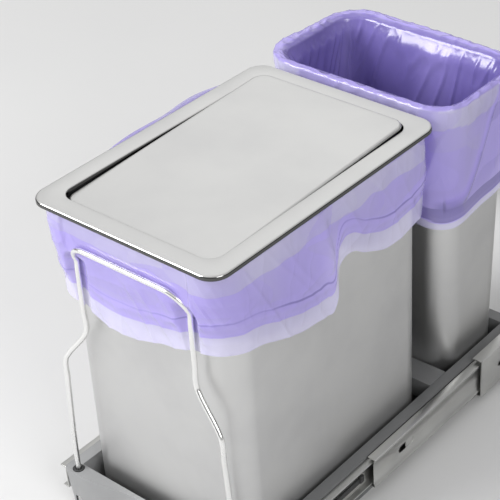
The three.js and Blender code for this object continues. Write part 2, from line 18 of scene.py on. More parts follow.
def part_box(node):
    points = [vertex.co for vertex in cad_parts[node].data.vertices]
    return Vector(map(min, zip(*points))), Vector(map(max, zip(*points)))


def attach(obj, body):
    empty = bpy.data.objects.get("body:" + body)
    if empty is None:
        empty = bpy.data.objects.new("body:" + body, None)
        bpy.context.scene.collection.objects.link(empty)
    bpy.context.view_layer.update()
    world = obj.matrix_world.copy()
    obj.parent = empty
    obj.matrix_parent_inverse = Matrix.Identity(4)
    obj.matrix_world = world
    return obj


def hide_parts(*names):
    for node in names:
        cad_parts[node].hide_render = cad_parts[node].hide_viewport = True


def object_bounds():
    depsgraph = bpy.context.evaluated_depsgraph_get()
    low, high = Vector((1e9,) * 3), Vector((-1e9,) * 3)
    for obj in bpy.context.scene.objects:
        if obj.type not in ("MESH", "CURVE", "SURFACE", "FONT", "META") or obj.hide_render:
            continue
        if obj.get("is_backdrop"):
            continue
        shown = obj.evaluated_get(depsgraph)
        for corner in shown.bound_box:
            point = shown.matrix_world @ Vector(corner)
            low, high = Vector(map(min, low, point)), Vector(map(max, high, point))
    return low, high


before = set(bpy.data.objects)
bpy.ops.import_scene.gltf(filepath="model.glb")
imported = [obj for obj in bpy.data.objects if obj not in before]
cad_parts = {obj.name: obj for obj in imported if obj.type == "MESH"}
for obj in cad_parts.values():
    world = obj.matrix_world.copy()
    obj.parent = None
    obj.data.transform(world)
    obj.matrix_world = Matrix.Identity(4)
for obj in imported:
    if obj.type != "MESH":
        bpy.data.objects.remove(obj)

LOG = logging.getLogger("bin_unit")
MM = 0.001
Colour = tuple[float, float, float]


@cache
def box_of(node: str) -> tuple[Vector, Vector]:
    """The lowest and highest corner of a CAD node, measured once."""
    low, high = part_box(node)
    return Vector(low).freeze(), Vector(high).freeze()


class Side(Enum):
    """The two halves of the unit, each with its sign along X."""

    RIGHT = 1
    LEFT = -1

    @property
    def word(self) -> str:
        """The side's name as it ends a node's name."""
        return self.name.lower()


class Slot(Enum):
    """The record's material slots."""

    SATIN_STEEL = "satin_steel"
    BIN_STEEL = "bin_steel"
    BRIGHT_WIRE = "bright_wire"
    FRAME_PAINT = "frame_paint"
    ZINC_STEEL = "zinc_steel"
    BLACK_PLASTIC = "black_plastic"
    GREY_PLASTIC = "grey_plastic"
    LINER_FILM = "liner_film"
    CAST_IRON = "cast_iron"


# ------------------------------------------------------------------ shader maths
class Wire:
    """A shader socket that takes Python's arithmetic, each operator adding a Math node."""

    def __init__(self, bench: "Bench", socket: bpy.types.NodeSocket) -> None:
        """Wraps an output socket of a node on the bench."""
        self.bench = bench
        self.socket = socket

    def _math(self, operation: str, *values: "Amount") -> "Wire":
        """Adds one Math node that works on the values."""
        made = self.bench.node("ShaderNodeMath", {"operation": operation}, dict(enumerate(values)))
        return Wire(self.bench, made.outputs[0])

    def __add__(self, other: "Amount") -> "Wire":
        """self + other."""
        return self._math("ADD", self, other)

    __radd__ = __add__

    def __sub__(self, other: "Amount") -> "Wire":
        """self - other."""
        return self._math("SUBTRACT", self, other)

    def __rsub__(self, other: "Amount") -> "Wire":
        """other - self."""
        return self._math("SUBTRACT", other, self)

    def __mul__(self, other: "Amount") -> "Wire":
        """self * other."""
        return self._math("MULTIPLY", self, other)

    __rmul__ = __mul__

    def __truediv__(self, other: "Amount") -> "Wire":
        """self / other."""
        return self._math("DIVIDE", self, other)

    def __pow__(self, other: "Amount") -> "Wire":
        """self raised to other."""
        return self._math("POWER", self, other)

    def __abs__(self) -> "Wire":
        """The size of self without its sign."""
        return self._math("ABSOLUTE", self)

    def ramp(self, low: float, high: float) -> "Wire":
        """0 below low, 1 above high and smooth between them."""
        made = self.bench.node(
            "ShaderNodeMapRange",
            {"interpolation_type": "SMOOTHSTEP"},
            {"Value": self, "From Min": low, "From Max": high},
        )
        return Wire(self.bench, made.outputs[0])


Amount = Union[Wire, float]


class Bench:
    """The node tree of one material or world, with short calls for the nodes that it needs."""

    def __init__(self, name: str, owner: bpy.types.World | None = None) -> None:
        """Starts an empty material of the given name, or empties the tree of a world."""
        self.material = owner or bpy.data.materials.new(name)
        self.material.use_nodes = True
        self.tree = self.material.node_tree
        self.tree.nodes.clear()

    def node(self, kind: str, settings: dict | None = None, inputs: dict | None = None) -> bpy.types.Node:
        """Adds a node.

        Args:
            kind: the node's type name.
            settings: its properties, set before its sockets; stops are a ramp's places and levels.
            inputs: the value or wire of each named or numbered input socket.

        Returns:
            The new node.
        """
        made = self.tree.nodes.new(kind)
        settings = dict(settings or {})
        for index, (position, level) in enumerate(settings.pop("stops", ())):
            ends = made.color_ramp.elements
            stop = ends[index] if index < len(ends) else ends.new(position)
            stop.position = position
            stop.color = (level, level, level, 1)
        for name, value in settings.items():
            setattr(made, name, value)
        for name, value in (inputs or {}).items():
            if isinstance(value, Wire):
                self.tree.links.new(value.socket, made.inputs[name])
            else:
                made.inputs[name].default_value = value
        return made

    def place(self) -> Wire:
        """The point's Object coordinates, which are metres in the unit's own frame."""
        return Wire(self, self.node("ShaderNodeTexCoord").outputs["Object"])

    def height(self) -> Wire:
        """The point's height over the unit's underside."""
        made = self.node("ShaderNodeSeparateXYZ", inputs={0: self.place()})
        return Wire(self, made.outputs["Z"])

    def attribute(self, name: str) -> Wire:
        """A number stored on the mesh."""
        made = self.node("ShaderNodeAttribute", {"attribute_name": name})
        return Wire(self, made.outputs["Fac"])

    def cloud(self, scale: float, detail: float = 2.0, stretch: Sequence[float] = (1, 1, 1)) -> Wire:
        """Soft noise.

        Args:
            scale: features in a metre.
            detail: octaves of finer noise.
            stretch: the scale's multiple along X, Y and Z.

        Returns:
            The noise, about 0.5 on average.
        """
        turned = self.node("ShaderNodeMapping", inputs={"Vector": self.place(), "Scale": tuple(stretch)})
        made = self.node(
            "ShaderNodeTexNoise",
            inputs={"Vector": Wire(self, turned.outputs[0]), "Scale": scale, "Detail": detail},
        )
        return Wire(self, made.outputs[0])

    def blend(self, share: Amount, first: Union[Colour, Wire], second: Colour) -> Wire:
        """A colour between the first, at share 0, and the second, at share 1."""
        start = first if isinstance(first, Wire) else (*first, 1)
        made = self.node("ShaderNodeMix", {"data_type": "RGBA"}, {0: share, 6: start, 7: (*second, 1)})
        return Wire(self, made.outputs[2])

    def relief(self, height: Wire, depth: float, strength: float = 1.0) -> Wire:
        """A bump of the given depth in metres."""
        inputs = {"Height": height, "Distance": depth, "Strength": strength}
        made = self.node("ShaderNodeBump", inputs=inputs)
        return Wire(self, made.outputs[0])

    def finish(self, **sockets: Amount | tuple) -> bpy.types.Material:
        """Ends the material with a Principled shader.

        Args:
            sockets: its sockets by name, with _ for each space.

        Returns:
            The material.
        """
        inputs = {name.replace("_", " "): value for name, value in sockets.items()}
        shader = self.node("ShaderNodeBsdfPrincipled", inputs=inputs)
        self.node("ShaderNodeOutputMaterial", inputs={0: Wire(self, shader.outputs[0])})
        return self.material


# ------------------------------------------------------------------ finishes
@dataclass(frozen=True)
class Steel:
    """Bare, blasted, brushed or plated steel.

    Attributes:
        tint: its colour where it is clean.
        stain: its colour where the sheet is a little duller.
        roughness: its mean roughness, and uneven how far that wanders.
        grain: lines or pits in a metre, stretched along each axis by grain_run.
        grain_depth: their depth.
        polished_below: the height under which the sheet is polished, if any.
        polished_band: how far that polish takes to blend in.
        painted_reflection_tint: the darker colour painted at the foot of the polished part, a painted dark
            reflection.
    """

    name: str
    tint: Colour
    stain: Colour
    roughness: float
    uneven: float
    grain: float
    grain_run: tuple[float, float, float]
    grain_depth: float
    metallic: float = 1.0
    polished_below: float | None = None
    polished_band: float = 0.4 * MM
    painted_reflection_tint: Colour = (0.11, 0.11, 0.11)

    def make(self) -> bpy.types.Material:
        """The finish as a material."""
        bench = Bench(self.name)
        grain = bench.cloud(self.grain, 3, self.grain_run)
        drift = bench.cloud(14, 3)
        roughness = self.roughness + self.uneven * (drift - 0.5) + 0.5 * self.uneven * (grain - 0.5)
        if self.polished_below is not None:
            matt = bench.height().ramp(self.polished_below - self.polished_band, self.polished_below)
            roughness = 0.09 + (roughness - 0.09) * matt
            grain = grain * matt
        colour = bench.blend(drift.ramp(0.3, 0.75), self.tint, self.stain)
        # Painted dark reflection: the colour darkens towards the dark tint at the foot of the polished
        # roll.
        if self.polished_below is not None:
            shaded = 1 - bench.height().ramp(self.polished_below - 1.1 * MM, self.polished_below)
            colour = bench.blend(shaded, colour, self.painted_reflection_tint)
        return bench.finish(
            Base_Color=colour,
            Roughness=roughness,
            Metallic=self.metallic,
            Normal=bench.relief(grain, self.grain_depth),
        )


@dataclass(frozen=True)
class Coat:
    """Powder paint or moulded plastic: a coloured skin with a fine pebble and a random mottle between two
    tints.
    """

    name: str
    tint: Colour
    shade: Colour
    roughness: float
    pebble: float
    pebble_depth: float
    gloss: float = 0.5

    def make(self) -> bpy.types.Material:
        """The finish as a material."""
        bench = Bench(self.name)
        pebble = bench.cloud(self.pebble, 2)
        drift = bench.cloud(22, 4)
        return bench.finish(
            Base_Color=bench.blend(drift.ramp(0.3, 0.7), self.tint, self.shade),
            Roughness=self.roughness + 0.12 * (drift - 0.5) + 0.08 * (pebble - 0.5),
            Specular_IOR_Level=self.gloss,
            Normal=bench.relief(pebble, self.pebble_depth),
        )


@dataclass(frozen=True)
class Film:
    """Translucent bag film, whose attribute layers says how many thicknesses lie together; inside the bag
    it is raised further as painted shade.
    """

    name: str
    thin: Colour
    double: Colour
    thick: Colour
    thin_cover: float
    thick_cover: float
    roughness: float

    def make(self) -> bpy.types.Material:
        """The finish as a material."""
        bench = Bench(self.name)
        layers = bench.attribute("layers")
        crinkle = bench.cloud(34, 2, (1, 1, 0.45))
        fine = bench.cloud(380, 2, (1, 1, 0.6))
        ridges = 1 - abs(crinkle - 0.5) * 2
        cloudy = bench.cloud(26, 3, (1, 1, 0.6))
        pale = bench.blend(layers.ramp(1, 2), self.thin, self.double)
        deep = layers.ramp(2, 3.2)
        colour = bench.blend(deep, pale, self.thick)
        spread = (layers - 1).ramp(0, 2)
        cover = self.thin_cover + (self.thick_cover - self.thin_cover) * spread + 0.10 * (cloudy - 0.5)
        return bench.finish(
            Base_Color=colour,
            Roughness=self.roughness + 0.1 * (fine - 0.5),
            Alpha=cover,
            Normal=bench.relief(ridges ** 6 + 0.03 * fine, 0.7 * MM, 0.7),
            Specular_IOR_Level=0.7,
            Coat_Weight=0.5,
            Coat_Roughness=0.1,
        )


class Finishes:
    """Every material of the unit, made once and shared."""

    def __init__(self) -> None:
        """Makes the materials."""
        lid_top = box_of("lid_trim")[1].z
        satin = Steel(
            "satin_steel", (0.76, 0.76, 0.75), (0.72, 0.72, 0.715),
            0.40, 0.05, 2600, (1, 1, 1), 0.012 * MM,
        )
        self.by_slot: dict[Slot, bpy.types.Material] = {
            Slot.SATIN_STEEL: satin.make(),
            Slot.BIN_STEEL: Steel(
                "bin_steel", (0.66, 0.66, 0.655), (0.60, 0.60, 0.60),
                0.42, 0.07, 1400, (1, 1, 0.05), 0.01 * MM,
            ).make(),
            Slot.BRIGHT_WIRE: Steel(
                "bright_wire", (0.90, 0.90, 0.89), (0.84, 0.84, 0.83),
                0.27, 0.05, 500, (1, 1, 0.3), 0.01 * MM,
            ).make(),
            Slot.ZINC_STEEL: Steel(
                "zinc_steel", (0.62, 0.62, 0.60), (0.50, 0.50, 0.49),
                0.33, 0.14, 900, (1, 0.03, 1), 0.012 * MM, 0.95,
            ).make(),
            Slot.CAST_IRON: Steel(
                "cast_iron", (0.16, 0.155, 0.15), (0.10, 0.095, 0.09),
                0.62, 0.2, 700, (1, 1, 1), 0.12 * MM, 0.7,
            ).make(),
            # The frame paint's dark grey is partly the rails' own darker paint and partly painted shade, as
            # the rails sit in shade.
            Slot.FRAME_PAINT: Coat(
                "frame_paint", (0.17, 0.172, 0.175), (0.15, 0.152, 0.155), 0.46, 900, 0.03 * MM
            ).make(),
            Slot.BLACK_PLASTIC: Coat(
                "black_plastic", (0.022, 0.022, 0.023), (0.032, 0.032, 0.033), 0.5, 1500, 0.03 * MM
            ).make(),
            Slot.GREY_PLASTIC: Coat(
                "grey_plastic", (0.26, 0.27, 0.275), (0.22, 0.225, 0.23), 0.5, 1500, 0.03 * MM
            ).make(),
            Slot.LINER_FILM: Film(
                "liner_film", (0.70, 0.66, 1.0), (0.46, 0.38, 0.92), (0.19, 0.15, 0.47), 0.60, 0.90, 0.22
            ).make(),
        }
        # The front moulding's lighter grey, beside the frame paint whose darker tint is partly painted
        # shade.
        self.moulding = Coat(
            "moulding", (0.32, 0.323, 0.327), (0.29, 0.293, 0.297),
            0.42, 900, 0.02 * MM,
        ).make()
        # The lid border's polished roll carries the painted dark reflection at its foot.
        self.lid_border = replace(satin, name="lid_border_steel", polished_below=lid_top - 0.25 * MM).make()

    def __getitem__(self, slot: Slot) -> bpy.types.Material:
        """The material of a slot."""
        return self.by_slot[slot]


# ------------------------------------------------------------------ mesh tools
@dataclass(frozen=True)
class Hoop:
    """A level rounded rectangle, centred on X."""

    half_x: float
    front: float
    rear: float
    radius: float
    z: float

    @classmethod
    def of_box(cls, low: Vector, high: Vector, radius: float, z: float) -> "Hoop":
        """The hoop that a box's plan fills."""
        return cls(high.x, low.y, high.y, radius, z)

    def inset(self, by: float, z: float | None = None) -> "Hoop":
        """A hoop that lies inside this one by the given distance."""
        radius = max(self.radius - by, 0.5 * MM)
        return Hoop(self.half_x - by, self.front + by, self.rear - by, radius, self.z if z is None else z)

    def at(self, z: float) -> "Hoop":
        """The same hoop at another height."""
        return replace(self, z=z)

    def toward(self, other: "Hoop", share: float) -> "Hoop":
        """The hoop a share of the way to another."""
        pairs = zip(vars(self).values(), vars(other).values())
        return Hoop(*(a + (b - a) * share for a, b in pairs))

    def point(self, corner: Vector, direction: Vector) -> Vector:
        """The point that leaves the centre of a corner's arc in a direction.

        Args:
            corner: the corner's signs along X and Y.
            direction: a unit vector, level.

        Returns:
            The point on the hoop.
        """
        y = self.rear - self.radius if corner.y > 0 else self.front + self.radius
        x = corner.x * (self.half_x - self.radius)
        return Vector((x + self.radius * direction.x, y + self.radius * direction.y, self.z))


class Shell:
    """A shell grown hoop by hoop out of one rounded rectangle."""

    def __init__(self, first: Hoop, steps: int = 14, capped: bool = True) -> None:
        """Starts the shell on its first hoop.

        Args:
            first: the hoop.
            steps: segments in each corner.
            capped: whether the first hoop is a face.
        """
        self.bm = bmesh.new()
        bmesh.ops.create_grid(self.bm, x_segments=1, y_segments=1, size=1)
        bmesh.ops.bevel(
            self.bm,
            geom=self.bm.verts[:],
            offset=0.5,
            offset_type="OFFSET",
            segments=steps,
            profile=0.5,
            affect="VERTICES",
            material=-1,
        )
        self.places: dict[bmesh.types.BMVert, tuple[Vector, Vector]] = {}
        for vert in self.bm.verts:
            corner = Vector((math.copysign(1, vert.co.x), math.copysign(1, vert.co.y)))
            direction = (vert.co.xy - 0.5 * corner).normalized()
            self.places[vert] = (corner, direction)
        self.edges = self.bm.edges[:]
        self.first_edges = self.edges[:]
        if not capped:
            bmesh.ops.delete(self.bm, geom=self.bm.faces[:], context="FACES_ONLY")
        self._put(self.places, first)

    @staticmethod
    def _put(places: dict, hoop: Hoop) -> None:
        """Moves the vertices of one hoop to its size."""
        for vert, (corner, direction) in places.items():
            vert.co = hoop.point(corner, direction)

    def grow(self, *hoops: Hoop) -> "Shell":
        """Extrudes the open end through more hoops."""
        for hoop in hoops:
            made = bmesh.ops.extrude_edge_only(self.bm, edges=self.edges)["geom"]
            verts = [item for item in made if isinstance(item, bmesh.types.BMVert)]
            places = {}
            for vert in verts:
                old = next(o for o in (e.other_vert(vert) for e in vert.link_edges) if o in self.places)
                places[vert] = self.places[old]
            fresh = set(verts)
            self.edges = [
                e for e in made if isinstance(e, bmesh.types.BMEdge) and fresh.issuperset(e.verts)
            ]
            self.places = places
            self._put(places, hoop)
        return self

    def cap(self) -> "Shell":
        """Closes the open end with a face."""
        bmesh.ops.contextual_create(self.bm, geom=self.edges)
        return self

    def join_ends(self) -> "Shell":
        """Bridges the last hoop to the first, as in a ring."""
        bmesh.ops.bridge_loops(self.bm, edges=self.edges + self.first_edges)
        return self

    def done(self) -> bmesh.types.BMesh:
        """The shell with its faces turned outwards."""
        bmesh.ops.recalc_face_normals(self.bm, faces=self.bm.faces[:])
        return self.bm


def quarter(start: Hoop, inset: float, rise: float, steps: int = 5, outward: bool = False) -> list[Hoop]:
    """Hoops of a rounded edge that leaves the start hoop.

    Args:
        start: the hoop that the edge leaves.
        inset: how far it goes inwards in all, or outwards if negative.
        rise: how far it goes up in all, or down if negative.
        steps: the number of hoops.
        outward: True if it leaves level, and False if it leaves upright.

    Returns:
        The hoops after the start.
    """
    made = []
    for step in range(1, steps + 1):
        turn = step / steps * math.pi / 2
        across, up = 1 - math.cos(turn), math.sin(turn)
        if outward:
            across, up = up, across
        made.append(start.inset(inset * across, start.z + rise * up))
    return made


def softened(node: str, width: float, segments: int = 2, sharp: float = 28) -> bmesh.types.BMesh:
    """A CAD node's shape with its sharp edges rounded.

    Args:
        node: the node's name.
        width: the width of the rounding.
        segments: the faces across it.
        sharp: the angle in degrees from which an edge counts as sharp.

    Returns:
        The rounded copy.
    """
    bm = bmesh.new()
    bm.from_mesh(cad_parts[node].data)
    bmesh.ops.remove_doubles(bm, verts=bm.verts[:], dist=0.002 * MM)
    bmesh.ops.dissolve_limit(bm, angle_limit=math.radians(0.7), verts=bm.verts[:], edges=bm.edges[:])
    edges = [e for e in bm.edges if e.is_manifold and e.calc_face_angle(0) > math.radians(sharp)]
    bmesh.ops.bevel(
        bm,
        geom=edges,
        offset=width,
        offset_type="OFFSET",
        segments=segments,
        profile=0.5,
        affect="EDGES",
        clamp_overlap=True,
        material=-1,
    )
    return bm


def settle(
    bm: bmesh.types.BMesh,
    name: str,
    material: bpy.types.Material,
    body: str,
    stands_for: Sequence[str] = (),
    crease: float = 40,
) -> bpy.types.Object:
    """Makes a finished piece of a bmesh and ties it to its body.

    Args:
        bm: the piece's shape, which is freed.
        name: the piece's name.
        material: its finish.
        body: the body that it moves with.
        stands_for: the CAD nodes that it replaces.
        crease: the angle in degrees above which an edge stays sharp.

    Returns:
        The new object.
    """
    mesh = bpy.data.meshes.new(name)
    bm.to_mesh(mesh)
    bm.free()
    mesh.shade_smooth()
    mesh.set_sharp_from_angle(angle=math.radians(crease))
    mesh.materials.append(material)
    piece = bpy.data.objects.new(name, mesh)
    bpy.context.scene.collection.objects.link(piece)
    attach(piece, body)
    if stands_for:
        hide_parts(*stands_for)
    LOG.info("%s: %d faces on %s", name, len(mesh.polygons), body)
    return piece


def refine(
    finishes: Finishes, node: str, name: str, body: str, slot: Slot, width: float, segments: int = 2
) -> None:
    """Rounds a CAD node's edges and settles the copy in its place.

    Args:
        finishes: every slot's material.
        node: the CAD node.
        name: the new piece's name.
        body: the body that it moves with.
        slot: the slot that gives its finish.
        width: the width of the rounding.
        segments: the faces across it.
    """
    settle(softened(node, width, segments), name, finishes[slot], body, [node])


def ease(value: float) -> float:
    """A smooth step from 0 to 1, held at its ends."""
    held = min(max(value, 0.0), 1.0)
    return held * held * (3 - 2 * held)


def bell(offset: float, width: float) -> float:
    """A bump that is 1 at no offset and dies away within about two widths."""
    return math.exp(-((offset / width) ** 2))


def drift(x: float, y: float, z: float) -> float:
    """Smooth noise between about -1 and 1."""
    return noise.noise(Vector((x, y, z)))


def crumple(x: float, y: float, z: float, sharpness: float) -> float:
    """Noise gathered into ridges: 1 along each ridge, and less between them the sharper they are."""
    return (1 - abs(drift(x, y, z))) ** sharpness


def curve_through(points: Sequence[tuple[float, float]], at: float) -> float:
    """The height at a place of a smooth curve through points, level before the first and after the last."""
    if at <= points[0][0]:
        return points[0][1]
    for index in range(len(points) - 1):
        (x0, y0), (x1, y1) = points[index], points[index + 1]
        if at <= x1:
            before = points[max(index - 1, 0)]
            after = points[min(index + 2, len(points) - 1)]
            slope0 = (y1 - before[1]) / max(x1 - before[0], 1e-9)
            slope1 = (after[1] - y0) / max(after[0] - x0, 1e-9)
            width = x1 - x0
            t = (at - x0) / width
            h00, h10 = 2 * t**3 - 3 * t**2 + 1, t**3 - 2 * t**2 + t
            h01, h11 = -2 * t**3 + 3 * t**2, t**3 - t**2
            return h00 * y0 + h10 * width * slope0 + h01 * y1 + h11 * width * slope1
    return points[-1][1]


# ------------------------------------------------------------------ lid
@dataclass
class Lid:
    """The lid: a pressed border with a polished roll round it, and the swing panel in its opening."""

    finishes: Finishes
    corner: float = 18 * MM
    border: float = 19.5 * MM
    roll: float = 2.1 * MM
    lip_roll: float = 1.1 * MM
    sheet: float = 0.9 * MM
    opening_corner: float = 14 * MM
    lip_drop: float = 4 * MM
    slit: float = 1.2 * MM
    panel_skin: float = 2.7 * MM
    panel_drop: float = 4.6 * MM
    panel_tilt: float = math.radians(2)

    def build(self) -> None:
        """Makes the border and the panel, and refines what holds them."""
        low, high = box_of("lid_trim")
        self.outline = Hoop.of_box(low, high, self.corner, high.z)
        self._border(low.z)
        self._panel()
        self._inner_parts()

    def _border(self, low_z: float) -> None:
        """The border, from its turned-under outer edge over the top to the lip of the opening."""
        top = self.outline
        edge = top.inset(0, low_z + 1.2 * MM)
        shell = Shell(top.inset(1.2 * MM, low_z + 0.5 * MM), steps=20, capped=False)
        shell.grow(*quarter(top.inset(1.2 * MM, low_z + 0.2 * MM), -1.2 * MM, 1.2 * MM, 4, outward=True))
        shell.grow(edge, top.inset(0, top.z - self.roll))
        shell.grow(*quarter(top.inset(0, top.z - self.roll), self.roll, self.roll, 6))
        shell.grow(*self._lip(top.inset(self.border - self.lip_roll), top.z))
        under = top.inset(self.border + 0.2 * MM, top.z - self.lip_drop)
        shell.grow(
            replace(under.inset(-self.sheet), radius=self.opening_corner + self.sheet),
            replace(under.inset(-self.sheet), radius=self.opening_corner + self.sheet, z=top.z - 2.2 * MM),
            top.inset(self.border - 2.6 * MM, top.z - self.sheet),
            top.inset(3.2 * MM, top.z - self.sheet),
            top.inset(1.4 * MM, top.z - 2.6 * MM),
        )
        shell.join_ends()
        settle(
            shell.done(), "lid_border", self.finishes.lid_border, "lid", ["lid_trim"],
            crease=50,
        )

    def _lip(self, start: Hoop, top: float) -> list[Hoop]:
        """The hoops that round the border down into its opening."""
        corner = self.opening_corner + self.lip_roll
        first = replace(start, radius=corner)
        turned = quarter(first, self.lip_roll, -self.lip_roll, 4, outward=True)
        return [first, *turned, replace(turned[-1], z=top - self.lip_drop)]

    def _panel(self) -> None:
        """The swing panel: a pressed steel skin with a rolled edge over a black tray."""
        reach = self.border + self.slit
        top = self.outline.inset(reach, self.outline.z - 0.3 * MM)
        top = replace(top, radius=self.opening_corner - 1 * MM)
        wall = 0.8 * MM
        low = top.z - self.panel_skin
        skin = Shell(top.inset(wall, top.z - wall), steps=18)
        skin.grow(
            top.inset(wall, low + 0.1 * MM),
            top.inset(0.3 * MM, low),
            top.inset(0, low + 0.3 * MM),
        )
        skin.grow(*quarter(top.at(low + 0.3 * MM), 2.8 * MM, self.panel_skin - 0.35 * MM, 8))
        skin.grow(top.inset(7 * MM, top.z - 0.02 * MM), top.inset(16 * MM, top.z))
        skin.cap()
        steel = self.finishes[Slot.SATIN_STEEL]
        self._hang(skin.done(), "panel", steel, ["swing_panel"])
        floor = top.z - self.panel_drop
        tray = Shell(top.inset(wall + 0.3 * MM, low - 0.2 * MM), steps=18)
        tray.grow(
            top.inset(0.5 * MM, low - 0.2 * MM),
            top.inset(0.5 * MM, floor + 0.5 * MM),
            top.inset(1 * MM, floor),
            top.inset(2.2 * MM, floor),
            top.inset(2.2 * MM, low - 1 * MM),
        )
        tray.cap()
        self._hang(tray.done(), "panel_tray", self.finishes[Slot.BLACK_PLASTIC], [])

    def _hang(
        self,
        bm: bmesh.types.BMesh,
        name: str,
        material: bpy.types.Material,
        nodes: Sequence[str],
    ) -> None:
        """Tilts a piece that was drawn level about the pivots, and ties it to the swing panel's body.

        Args:
            bm: the piece's shape.
            name: the piece's name.
            material: its finish.
            nodes: the CAD nodes that it replaces.
        """
        low_pin, high_pin = box_of("pivot_pin_right")
        pivot = Vector((0, (low_pin.y + high_pin.y) / 2, (low_pin.z + high_pin.z) / 2))
        turn = Matrix.Rotation(self.panel_tilt, 3, "X")
        bmesh.ops.rotate(bm, cent=pivot, matrix=turn, verts=bm.verts[:])
        settle(bm, name, material, "flap", nodes, crease=50)

    def _inner_parts(self) -> None:
        """The plastic ring under the border, the panel's backing, its weight and its pivots."""
        looks, black, zinc = self.finishes, Slot.BLACK_PLASTIC, Slot.ZINC_STEEL
        refine(looks, "lid_carrier", "carrier_ring", "lid", black, 0.5 * MM)
        refine(looks, "panel_backing", "backing_plate", "flap", black, 0.3 * MM)
        refine(looks, "counterweight", "weight_bar", "flap", Slot.CAST_IRON, 1 * MM, 3)
        for side in Side:
            screw, pin = f"weight_screw_{side.word}", f"pivot_pin_{side.word}"
            refine(looks, screw, f"{screw}_turned", "flap", zinc, 0.25 * MM)
            refine(looks, pin, f"{pin}_turned", "flap", zinc, 0.4 * MM)
            bush = f"pivot_bush_{side.word}"
            refine(looks, bush, f"{bush}_moulded", "lid", Slot.GREY_PLASTIC, 0.3 * MM)


# ------------------------------------------------------------------ bins
@dataclass
class Bin:
    """What both steel bins have: a rounded foot, a rolled rim and a floor, all in one shell."""

    finishes: Finishes
    radius: float = 27 * MM
    wall: float = 1.2 * MM
    foot: float = 9 * MM
    roll: float = 1.4 * MM
    roll_low: float = 3.6 * MM
    lip: float = 0.8 * MM

    def _rise(self, base: Hoop) -> Shell:
        """Starts the shell on its foot."""
        return Shell(base, steps=22).grow(*quarter(base, -self.foot, self.foot, 7, outward=True))

    def _rim(self, shell: Shell, rim: Hoop, inside: Hoop) -> None:
        """Rolls the rim, and turns down into the inside."""
        start = rim.at(rim.z - self.roll)
        shell.grow(rim.at(rim.z - self.roll_low), start, *quarter(start, self.roll, self.roll, 3))
        shell.grow(inside.inset(-self.lip), inside.at(inside.z - self.lip))

    def _close(self, shell: Shell, floor: Hoop, name: str, node: str) -> None:
        """Goes down to the floor, closes it and settles the bin.

        Args:
            shell: the bin so far.
            floor: the inside wall where the floor's rounding starts.
            name: the piece's name.
            node: the CAD node that it replaces, which is also its body.
        """
        drop = self.foot - self.wall
        shell.grow(floor, *quarter(floor, drop, -drop, 6)).cap()
        steel = self.finishes[Slot.BIN_STEEL]
        settle(shell.done(), name, steel, node, [node], crease=50)


@dataclass
class FrontBin(Bin):
    """The tall front bin: straight satin walls that widen near the top into a collar for the lid."""

    collar_out: float = 1.6 * MM
    collar_front: float = 10 * MM
    collar_low: float = 300 * MM
    collar_high: float = 310 * MM

    def build(self) -> None:
        """Makes the bin in one shell, outside and inside."""
        low, high = box_of("front_bin")
        rim = Hoop(high.x, low.y, high.y, self.radius, high.z)
        collar = Hoop(high.x - 4 * MM, low.y + 5 * MM, high.y - 5 * MM, self.radius, self.collar_high)
        body = Hoop(
            collar.half_x - self.collar_out,
            collar.front + self.collar_front,
            collar.rear - self.collar_out,
            self.radius,
            0,
        )
        spread = self.collar_high - self.collar_low
        shell = self._rise(body.inset(self.foot, low.z))
        shell.grow(body.at(self.collar_low - 3 * MM))
        for step in range(7):
            share = step / 6
            shell.grow(body.toward(collar, ease(share)).at(self.collar_low + share * spread))
        neck = collar.at(high.z - 5 * MM)
        shell.grow(neck, *quarter(neck, -1 * MM, 1 * MM, 2))
        inside = collar.inset(self.wall, high.z)
        self._rim(shell, rim, inside)
        shell.grow(inside.at(self.collar_high))
        for step in range(1, 6):
            share = step / 5
            narrowed = inside.toward(body.inset(self.wall), ease(share))
            shell.grow(narrowed.at(self.collar_high - share * spread))
        self._close(shell, body.inset(self.wall, low.z + self.foot), "front_bucket", "front_bin")


@dataclass
class RearBin(Bin):
    """The small rear bin, which narrows towards its foot."""

    rim_out: float = 5.5 * MM
    end_draft: float = 0.0315
    side_draft: float = 0.0095

    def outline(self, z: float) -> Hoop:
        """The bin's outer wall at a height."""
        low, high = box_of("rear_bin")
        down = high.z - z
        return Hoop(
            high.x - self.rim_out - self.side_draft * down,
            low.y + self.rim_out + self.end_draft * down,
            high.y - self.rim_out - self.end_draft * down,
            self.radius,
            z,
        )

    def build(self) -> None:
        """Makes the bin in one shell, outside and inside."""
        low, high = box_of("rear_bin")
        wall = self.outline(low.z + self.foot)
        shell = self._rise(wall.inset(self.foot, low.z))
        shell.grow(self.outline(high.z - 5 * MM))
        top = self.outline(high.z)
        self._rim(shell, top.inset(-self.rim_out), top.inset(self.wall))
        self._close(shell, wall.inset(self.wall), "rear_bucket", "rear_bin")


